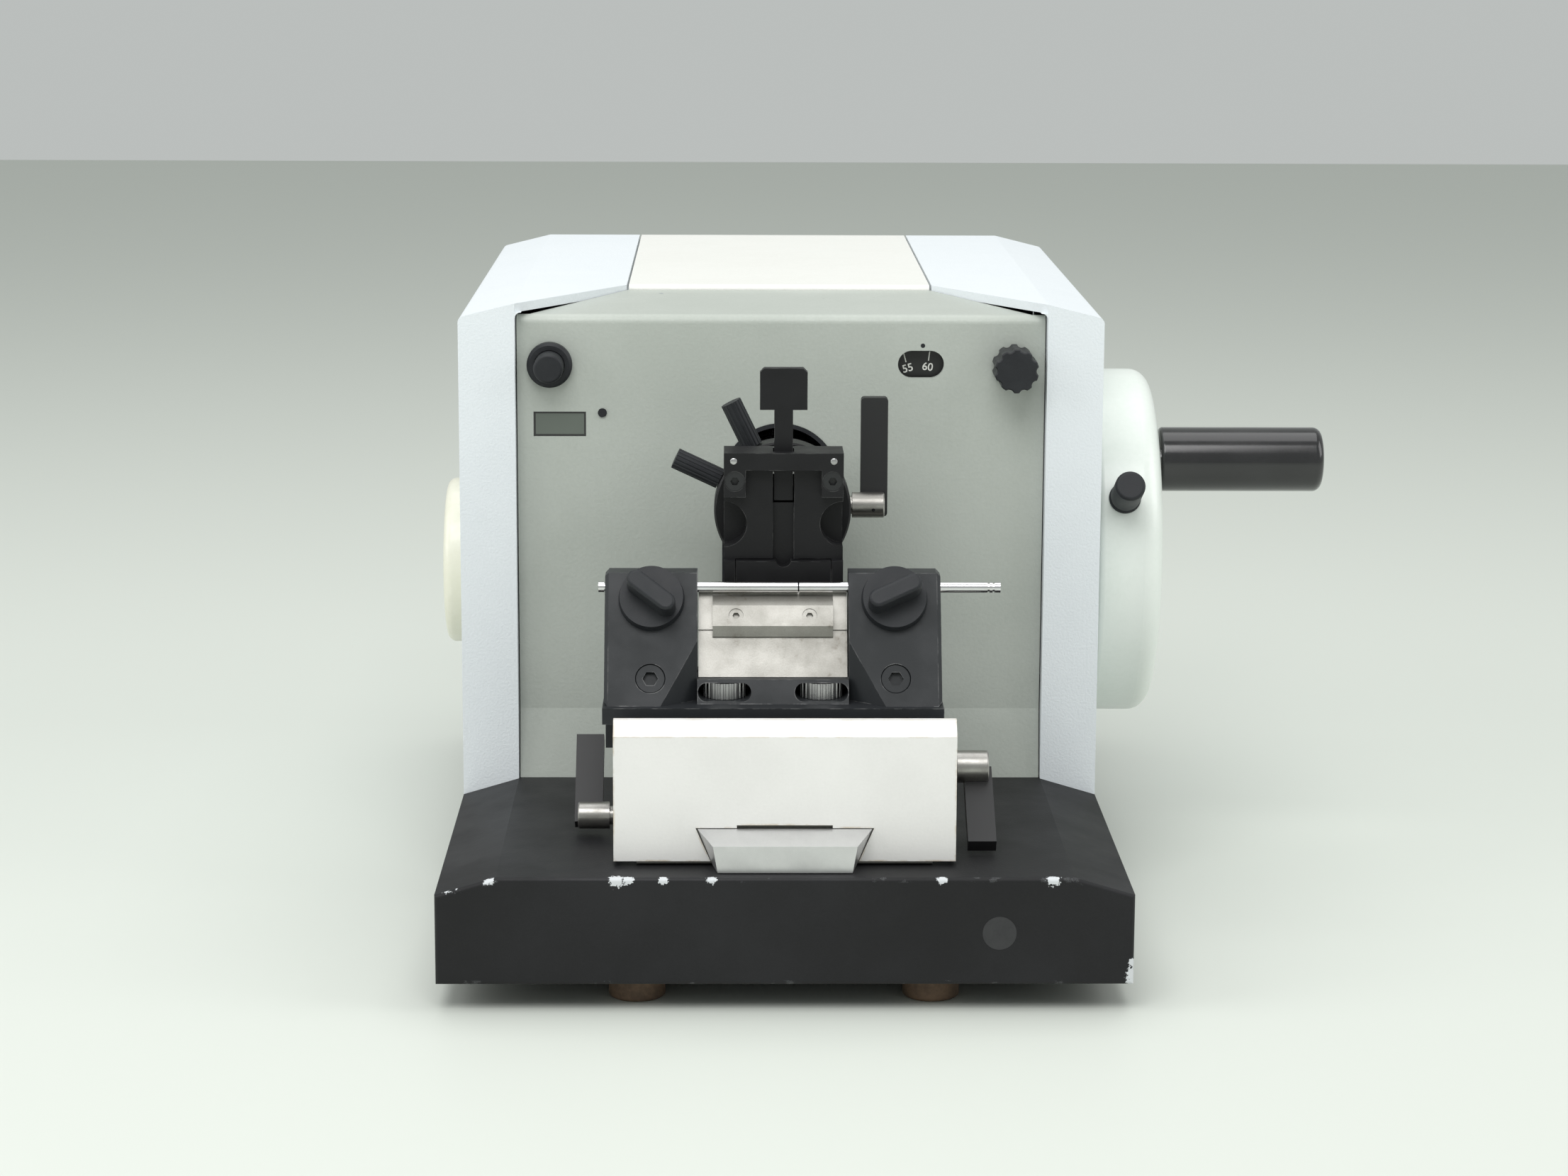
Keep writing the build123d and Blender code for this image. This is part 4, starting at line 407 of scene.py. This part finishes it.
def chip_spot(tree, x, z, width, grain):
    """Mask of one ragged chip on the base's front edge. Sizes in metres."""
    values = {"Middle": (x, base_front, z), "Width": width}
    node = place_group(tree, chip_group, values)
    tree.links.new(grain, node.inputs["Grain"])
    return node.outputs["Mask"]


# Each chip's place across the front, its height and its width.
base_chips = [
    (-0.1889, 0.0535, 0.0050),
    (-0.1848, 0.0548, 0.0040),
    (-0.1711, 0.0570, 0.0050),
    (-0.1182, 0.0576, 0.0070),
    (-0.1135, 0.0574, 0.0050),
    (-0.0989, 0.0572, 0.0045),
    (-0.0789, 0.0576, 0.0045),
    (0.0163, 0.0574, 0.0045),
    (0.0624, 0.0574, 0.0060),
    (0.0940, 0.0530, 0.0035),
    (0.0960, 0.0215, 0.0040),
    (0.0962, 0.0165, 0.0060),
    (0.0962, 0.0130, 0.0060),
]
base_paint = skin(
    "base_paint",
    light=(0.013, 0.013, 0.015),
    dark=(0.009, 0.009, 0.010),
    grain_size=0.0009,
    cloud_size=0.08,
    rough=(0.46, 0.6),
    relief=0.00007,
    shine=0.3,
)
base_tree = base_paint.node_tree
front_edge = past_plane(base_tree, (0, -1, 0), -base_front - 0.006, 0.003)
chips = join(base_tree, "MULTIPLY", edge_wear(base_tree, 0.0020, 0.012, 0.60, 0.63), front_edge)
chip_grain = noise(base_tree, 900.0, 3.0, 0.6)
for chip_x, chip_z, chip_width in base_chips:
    chip = chip_spot(base_tree, chip_x, chip_z, chip_width, chip_grain)
    chips = join(base_tree, "MAXIMUM", chips, chip)
cover_with(base_paint, chips, (0.62, 0.64, 0.66), 0.35)
dress(base_paint, "base_plate")

plug_plastic = skin(
    "plug_plastic",
    light=(0.028, 0.028, 0.03),
    dark=(0.02, 0.02, 0.022),
    grain_size=0.0006,
    cloud_size=0.01,
    rough=(0.5, 0.6),
    relief=0.00003,
)
dress(plug_plastic, "blind_plug")

# The feet.
# Four turned rubber feet that have aged to brown.
foot_rubber = skin(
    "foot_rubber",
    light=(0.16, 0.10, 0.06),
    dark=(0.09, 0.06, 0.04),
    grain_size=0.0012,
    cloud_size=0.01,
    rough=(0.7, 0.85),
    relief=0.00008,
)
dress(foot_rubber, "base_feet")

# The handwheel.
# A cast wheel in smooth greenish white enamel that carries the balance weights in its rim.
wheel_enamel = skin(
    "wheel_enamel",
    light=(0.80, 0.84, 0.80),
    dark=(0.74, 0.79, 0.74),
    grain_size=0.002,
    cloud_size=0.10,
    rough=(0.28, 0.4),
    relief=0.00004,
    coat=0.2,
)
dress(wheel_enamel, "handwheel")
coarse_plastic = skin(
    "coarse_plastic",
    light=(0.82, 0.81, 0.70),
    dark=(0.77, 0.76, 0.63),
    grain_size=0.002,
    cloud_size=0.04,
    rough=(0.3, 0.4),
    relief=0.00003,
    coat=0.2,
)
dress(coarse_plastic, "coarse_wheel")

# The crank handle and the wheel lock.
# The handle is a polished black plastic sleeve, and the lock knob is the same with a matte skin.
handle_gloss = skin(
    "handle_gloss",
    light=(0.010, 0.010, 0.011),
    dark=(0.016, 0.016, 0.017),
    grain_size=0.0012,
    cloud_size=0.03,
    rough=(0.16, 0.26),
    relief=0.00001,
    coat=0.4,
)
dress(handle_gloss, "handle_grip")
knob_plastic = skin(
    "knob_plastic",
    light=(0.013, 0.014, 0.017),
    dark=(0.019, 0.021, 0.024),
    grain_size=0.0005,
    cloud_size=0.012,
    rough=(0.45, 0.58),
    relief=0.00003,
    shine=0.35,
)
dress(
    knob_plastic,
    "lock_knob",
    "trim_knob",
    "trim_bezel",
    "reset_button",
    "thickness_knob",
    "tilt_screw",
    "swing_screw",
    "left_wing_knob",
    "right_wing_knob",
    "slot_lining",
)

# The black anodised pieces.
# The clamp, the head disc and the knife holder are milled aluminium, anodised black, with edges
# that have worn a little lighter.
black_anodised = skin(
    "black_anodised",
    light=(0.020, 0.022, 0.025),
    dark=(0.014, 0.016, 0.018),
    grain_size=0.0004,
    cloud_size=0.03,
    rough=(0.42, 0.55),
    relief=0.00002,
    shine=0.35,
)
anodised_edges = edge_wear(black_anodised.node_tree, 0.0007, 0.010, 0.45, 0.62)
cover_with(black_anodised, anodised_edges, (0.16, 0.16, 0.16), 0.4)
dress(
    black_anodised,
    "holder_slab",
    "holder_blocks",
    "block_screws",
    "cross_piece",
)
clamp_black = skin(
    "clamp_black",
    light=(0.006, 0.006, 0.007),
    dark=(0.009, 0.009, 0.010),
    grain_size=0.0004,
    cloud_size=0.02,
    rough=(0.42, 0.55),
    relief=0.00002,
    shine=0.3,
)
clamp_edges = edge_wear(clamp_black.node_tree, 0.0005, 0.008, 0.45, 0.62)
cover_with(clamp_black, clamp_edges, (0.08, 0.08, 0.08), 0.4)
dress(clamp_black, "head_disc", "tilt_shell", "clamp_body", "clamp_jaw", "clamp_lever")

# The ground steel of the blade rest.
# Surface-ground steel with rust stains and dark spots left by water and wax.
stain_group, stain_in, stain_out = new_group(
    "stain_spots",
    [
        ("Size", "NodeSocketFloat", 60.0),
        ("Low", "NodeSocketFloat", 0.55),
        ("High", "NodeSocketFloat", 0.7),
    ],
    [("Mask", "NodeSocketFloat")],
)
stain_broad = noise(stain_group, stain_in.outputs["Size"], 6.0, 0.7)
fine_size = join(stain_group, "MULTIPLY", stain_in.outputs["Size"], 9.0)
stain_fine = noise(stain_group, fine_size, 3.0, 0.6)
stain_mixed = join(
    stain_group,
    "ADD",
    join(stain_group, "MULTIPLY", stain_broad, 0.7),
    join(stain_group, "MULTIPLY", stain_fine, 0.3),
)
stain_group.links.new(
    spread(stain_group, stain_mixed, stain_in.outputs["Low"], stain_in.outputs["High"]),
    stain_out.inputs["Mask"],
)


def stains(tree, size, low, high):
    """Mask of spots and runs of staining. Size in metres."""
    values = {"Size": 1 / size, "Low": low, "High": high}
    return place_group(tree, stain_group, values).outputs["Mask"]


ground_steel = skin(
    "ground_steel",
    light=(0.36, 0.35, 0.325),
    dark=(0.28, 0.27, 0.245),
    grain_size=0.0006,
    cloud_size=0.03,
    rough=(0.34, 0.48),
    relief=0.00003,
    metallic=0.7,
)
steel_stains = stains(ground_steel.node_tree, 0.030, 0.55, 0.74)
cover_with(ground_steel, steel_stains, (0.10, 0.066, 0.040), 0.7)
dress(ground_steel, "support_plate", "pressure_plate", "cradle", "knife_carrier")

# Turned steel, chrome and aluminium.
# Shafts and fasteners are bright turned steel, apart from the clamp's two black socket screws. The
# guard rods are chromed and the pull is satin anodised aluminium.
bare_steel = skin(
    "bare_steel",
    light=(0.50, 0.50, 0.50),
    dark=(0.40, 0.40, 0.40),
    grain_size=0.0005,
    cloud_size=0.02,
    rough=(0.25, 0.38),
    relief=0.00002,
    metallic=1.0,
)
dress(
    bare_steel,
    "rear_cover_screws",
    "carrier_rail",
    "main_shaft",
    "crank_arm",
    "handle_pin",
    "yoke_plate",
    "specimen_cylinder",
    "feed_spindle",
    "swing_ball",
    "left_height_wheel",
    "right_height_wheel",
    "dial_bracket",
)
clamp_steel = skin(
    "clamp_steel",
    light=(0.50, 0.50, 0.50),
    dark=(0.40, 0.40, 0.40),
    grain_size=0.0005,
    cloud_size=0.02,
    rough=(0.25, 0.38),
    relief=0.00002,
    metallic=1.0,
)
screw_rear = 0.1563
screw_heads = past_plane(clamp_steel.node_tree, (0, -1, 0), screw_rear)
cover_with(clamp_steel, screw_heads, (0.012, 0.013, 0.014), 0.4)
not_metal(clamp_steel, screw_heads)
dress(clamp_steel, "clamp_fasteners")
rod_chrome = skin(
    "rod_chrome",
    light=(0.72, 0.72, 0.74),
    dark=(0.64, 0.63, 0.62),
    grain_size=0.001,
    cloud_size=0.015,
    rough=(0.08, 0.2),
    relief=0.00001,
    metallic=1.0,
)
dress(rod_chrome, "left_guard_rod", "right_guard_rod", "guide_rods")
satin_aluminium = skin(
    "satin_aluminium",
    light=(0.66, 0.66, 0.66),
    dark=(0.58, 0.58, 0.58),
    grain_size=0.0004,
    cloud_size=0.03,
    rough=(0.3, 0.42),
    relief=0.00002,
    metallic=0.9,
)
dress(satin_aluminium, "tray_pull")
bearing_bronze = skin(
    "bearing_bronze",
    light=(0.55, 0.38, 0.17),
    dark=(0.42, 0.28, 0.12),
    grain_size=0.0006,
    cloud_size=0.01,
    rough=(0.3, 0.45),
    relief=0.00002,
    metallic=1.0,
)
dress(bearing_bronze, "shaft_bearings")
frame_iron = skin(
    "frame_iron",
    light=(0.10, 0.11, 0.12),
    dark=(0.07, 0.08, 0.09),
    grain_size=0.0016,
    cloud_size=0.05,
    rough=(0.5, 0.65),
    relief=0.00015,
)
dress(frame_iron, "machine_frame", "carriage")

# The front box.
# Folded sheet in warm white paint, a little rubbed and yellowed along its edges.
box_paint = skin(
    "box_paint",
    light=(0.82, 0.81, 0.79),
    dark=(0.77, 0.76, 0.74),
    grain_size=0.0012,
    cloud_size=0.06,
    rough=(0.35, 0.48),
    relief=0.00006,
    coat=0.1,
)
box_edges = edge_wear(box_paint.node_tree, 0.0016, 0.012, 0.42, 0.62)
cover_with(box_paint, box_edges, (0.55, 0.47, 0.36), 0.5)
dress(box_paint, "front_box")


# The three lever arms.
# Each is a flat black arm on a turned steel hub.
def lever_finish(name, along, start, out, flat):
    """Steel with black where the arm lies: past a width and past the flat of the arm."""
    material = skin(
        name,
        light=(0.40, 0.39, 0.37),
        dark=(0.30, 0.29, 0.27),
        grain_size=0.0005,
        cloud_size=0.012,
        rough=(0.28, 0.42),
        relief=0.00002,
        metallic=1.0,
    )
    tree = material.node_tree
    arm = join(tree, "MULTIPLY", past_plane(tree, along, start), past_plane(tree, out, flat))
    cover_with(material, arm, (0.010, 0.010, 0.011), 0.48)
    not_metal(material, arm)
    return material


# From the middle of the housing's front to the shared frame.
shift_x = -0.0485
shift_y = -0.07925
arm_inner_x = 0.0344
arm_front_y = -0.0432
hair = 0.0001
dress(
    lever_finish(
        "head_lever_finish",
        (1, 0, 0),
        arm_inner_x + shift_x - hair,
        (0, 1, 0),
        arm_front_y + shift_y - hair,
    ),
    "head_lever",
)
side_arm_inner_x = 0.0778
side_arm_flat = 0.0020


def side_lever_finish(name, side, axis_y, axis_z, angle, out_sign):
    """The finish of a lever beside the carrier, whose arm lies on one side of its axis."""
    turn = math.radians(angle)
    out = Vector((0, -math.sin(turn), math.cos(turn))) * out_sign
    axis = Vector((0, axis_y + shift_y, axis_z))
    return lever_finish(
        name,
        (side, 0, 0),
        side_arm_inner_x + side * shift_x - hair,
        tuple(out),
        out.dot(axis) + side_arm_flat - hair,
    )


dress(side_lever_finish("left_lever_finish", -1, -0.100, 0.0667, 50.0, -1), "left_lever")
dress(side_lever_finish("right_lever_finish", 1, -0.100, 0.0883, 213.5, 1), "right_lever")

# The counter display.
# A grey-green liquid crystal panel in a thin black frame, set behind the front panel.
display_case = skin(
    "display_case",
    light=(0.012, 0.012, 0.012),
    dark=(0.018, 0.018, 0.018),
    grain_size=0.0006,
    cloud_size=0.01,
    rough=(0.3, 0.4),
    relief=0.00001,
    coat=0.5,
)
display_tree = display_case.node_tree
display_middle = Vector((-0.09995 + shift_x, 0, 0.22095))
glass_half_width = 0.0109
glass_half_height = 0.0047
glass = join(
    display_tree,
    "MULTIPLY",
    join(
        display_tree,
        "MULTIPLY",
        past_plane(display_tree, (1, 0, 0), display_middle.x - glass_half_width),
        past_plane(display_tree, (-1, 0, 0), -display_middle.x - glass_half_width),
    ),
    join(
        display_tree,
        "MULTIPLY",
        past_plane(display_tree, (0, 0, 1), display_middle.z - glass_half_height),
        past_plane(display_tree, (0, 0, -1), -display_middle.z - glass_half_height),
    ),
)
cover_with(display_case, glass, (0.11, 0.13, 0.11), 0.3)
dress(display_case, "counter_display")

# The thickness dial.
# A black disc behind the panel's window, with white graduations and numerals in steps of five.
dial_black = skin(
    "dial_black",
    light=(0.010, 0.010, 0.010),
    dark=(0.014, 0.014, 0.014),
    grain_size=0.0006,
    cloud_size=0.01,
    rough=(0.35, 0.45),
    relief=0.00001,
)
dress(dial_black, "thickness_dial")
dial_white = skin(
    "dial_white",
    light=(0.80, 0.80, 0.76),
    dark=(0.72, 0.72, 0.68),
    grain_size=0.0006,
    cloud_size=0.004,
    rough=(0.45, 0.55),
    relief=0.00001,
)
dial_middle = Vector((0.0149, -0.06725, 0.22388))
mark_height = 0.0001
numeral_radius = 0.0229
numeral_size = 0.0050
numeral_thickening = 0.00006
tick_inner = 0.0258
tick_outer = 0.0301
tick_width = 0.0005
top_value = 60
top_angle = 7.4
angle_of_five = 22.7


def on_dial(angle, radius):
    """Turns a flat piece to face the front and sets it at an angle clockwise from the top."""
    turned = Matrix.Rotation(math.radians(angle), 4, "Y")
    upright = Matrix.Rotation(math.pi / 2, 4, "X")
    return Matrix.Translation(dial_middle) @ turned @ Matrix.Translation((0, 0, radius)) @ upright


def joined(name, pieces, material):
    """One object from several, at the origin, in one material."""
    bpy.ops.object.select_all(action="DESELECT")
    for piece in pieces:
        piece.select_set(True)
    bpy.context.view_layer.objects.active = pieces[0]
    if len(pieces) > 1:
        bpy.ops.object.join()
    whole = bpy.context.object
    whole.name = name
    whole.data.materials.clear()
    whole.data.materials.append(material)
    return whole


marks = []
for value in range(0, top_value + 1, 5):
    angle = top_angle - (top_value - value) / 5 * angle_of_five
    bpy.ops.object.select_all(action="DESELECT")
    bpy.ops.object.text_add(location=(0, 0, 0))
    numeral = bpy.context.object
    numeral.data.body = str(value)
    numeral.data.size = numeral_size
    numeral.data.extrude = mark_height / 2
    numeral.data.offset = numeral_thickening
    numeral.data.align_x = "CENTER"
    numeral.data.align_y = "CENTER"
    bpy.ops.object.convert(target="MESH")
    numeral = bpy.context.object
    numeral.data.transform(on_dial(angle, numeral_radius))
    bpy.ops.mesh.primitive_cube_add(size=1)
    tick = bpy.context.object
    tick.data.transform(Matrix.Diagonal((tick_width, tick_outer - tick_inner, mark_height, 1)))
    tick.data.transform(on_dial(angle, (tick_inner + tick_outer) / 2))
    marks += [numeral, tick]
dial_marks = joined("dial_marks", marks, dial_white)
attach(dial_marks, "thickness_scale")

# The index dot over the dial's window.
# A small dot of black paint, put on by hand.
bpy.ops.object.select_all(action="DESELECT")
dot_radius = 0.0010
dot_thickness = 0.0001
dot_place = (0.0154, -0.0723, 0.2569)
bpy.ops.mesh.primitive_cylinder_add(vertices=14, radius=dot_radius, depth=dot_thickness)
index_dot = bpy.context.object
index_dot.data.transform(Matrix.Rotation(math.pi / 2, 4, "X"))
index_dot.data.transform(Matrix.Translation(dot_place))
index_dot = joined("index_dot", [index_dot], knob_plastic)
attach(index_dot, "stand")

# The clamp's two dowel pins.
# Bright, slightly domed pin ends in the clamp's top bar, above the socket screws.
bpy.ops.object.select_all(action="DESELECT")
pin_radius = 0.0015
pin_dome = 0.3
pin_out = 0.0215
pin_y = -0.16125
pin_z = 0.2181
pins = []
for side in (-1, 1):
    bpy.ops.mesh.primitive_uv_sphere_add(segments=24, ring_count=12, radius=pin_radius)
    pin = bpy.context.object
    pin.data.transform(Matrix.Diagonal((1, pin_dome, 1, 1)))
    pin.data.transform(Matrix.Translation((shift_x + side * pin_out, pin_y, pin_z)))
    bpy.ops.object.shade_smooth()
    pins.append(pin)
pin_ends = joined("pin_ends", pins, bare_steel)
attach(pin_ends, "cassette_clamp")

# The set-screw hole in the head lever's hub.
# A thin black disc a little below the middle of the hub: painted shade standing in for the dark
# inside of the hole.
bpy.ops.object.select_all(action="DESELECT")
hole_radius = 0.0008
hole_depth = 0.0004
hole_middle = 0.0055
hole_turn = math.radians(14.5)
hub_place = (-0.0087, -0.12525, 0.1932)
# A flat black disc on the hub's face, painted shade for the hole rather than a real recess.
bpy.ops.mesh.primitive_cylinder_add(vertices=20, radius=hole_radius, depth=hole_depth)
hole_shade_disc = bpy.context.object
hole_shade_disc.data.transform(Matrix.Translation((0, 0, hole_middle)))
hole_shade_disc.data.transform(Matrix.Rotation(math.pi / 2 + hole_turn, 4, "X"))
hole_shade_disc.data.transform(Matrix.Translation(hub_place))
hole_shade_disc = joined("set_screw_hole_shade", [hole_shade_disc], clamp_black)
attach(hole_shade_disc, "head_release")

# The ring under the wheel lock.
# A black rubber ring that seals the knob's shank where it enters the wheel's rim.
bpy.ops.object.select_all(action="DESELECT")
ring_radius = 0.0062
ring_thickness = 0.0024
ring_out = 0.0830
lock_turn = math.radians(23.35)
lock_direction = Vector((0, -math.cos(lock_turn), math.sin(lock_turn)))
wheel_axis = Vector((0.1101, 0.02075, 0.1517))
bpy.ops.mesh.primitive_torus_add(
    major_radius=ring_radius,
    minor_radius=ring_thickness / 2,
    major_segments=48,
    minor_segments=14,
)
lock_ring = bpy.context.object
lock_ring.data.transform(lock_direction.to_track_quat("Z", "X").to_matrix().to_4x4())
lock_ring.data.transform(Matrix.Translation(wheel_axis + lock_direction * ring_out))
bpy.ops.object.shade_smooth()
lock_ring = joined("lock_ring", [lock_ring], knob_plastic)
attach(lock_ring, "drive")
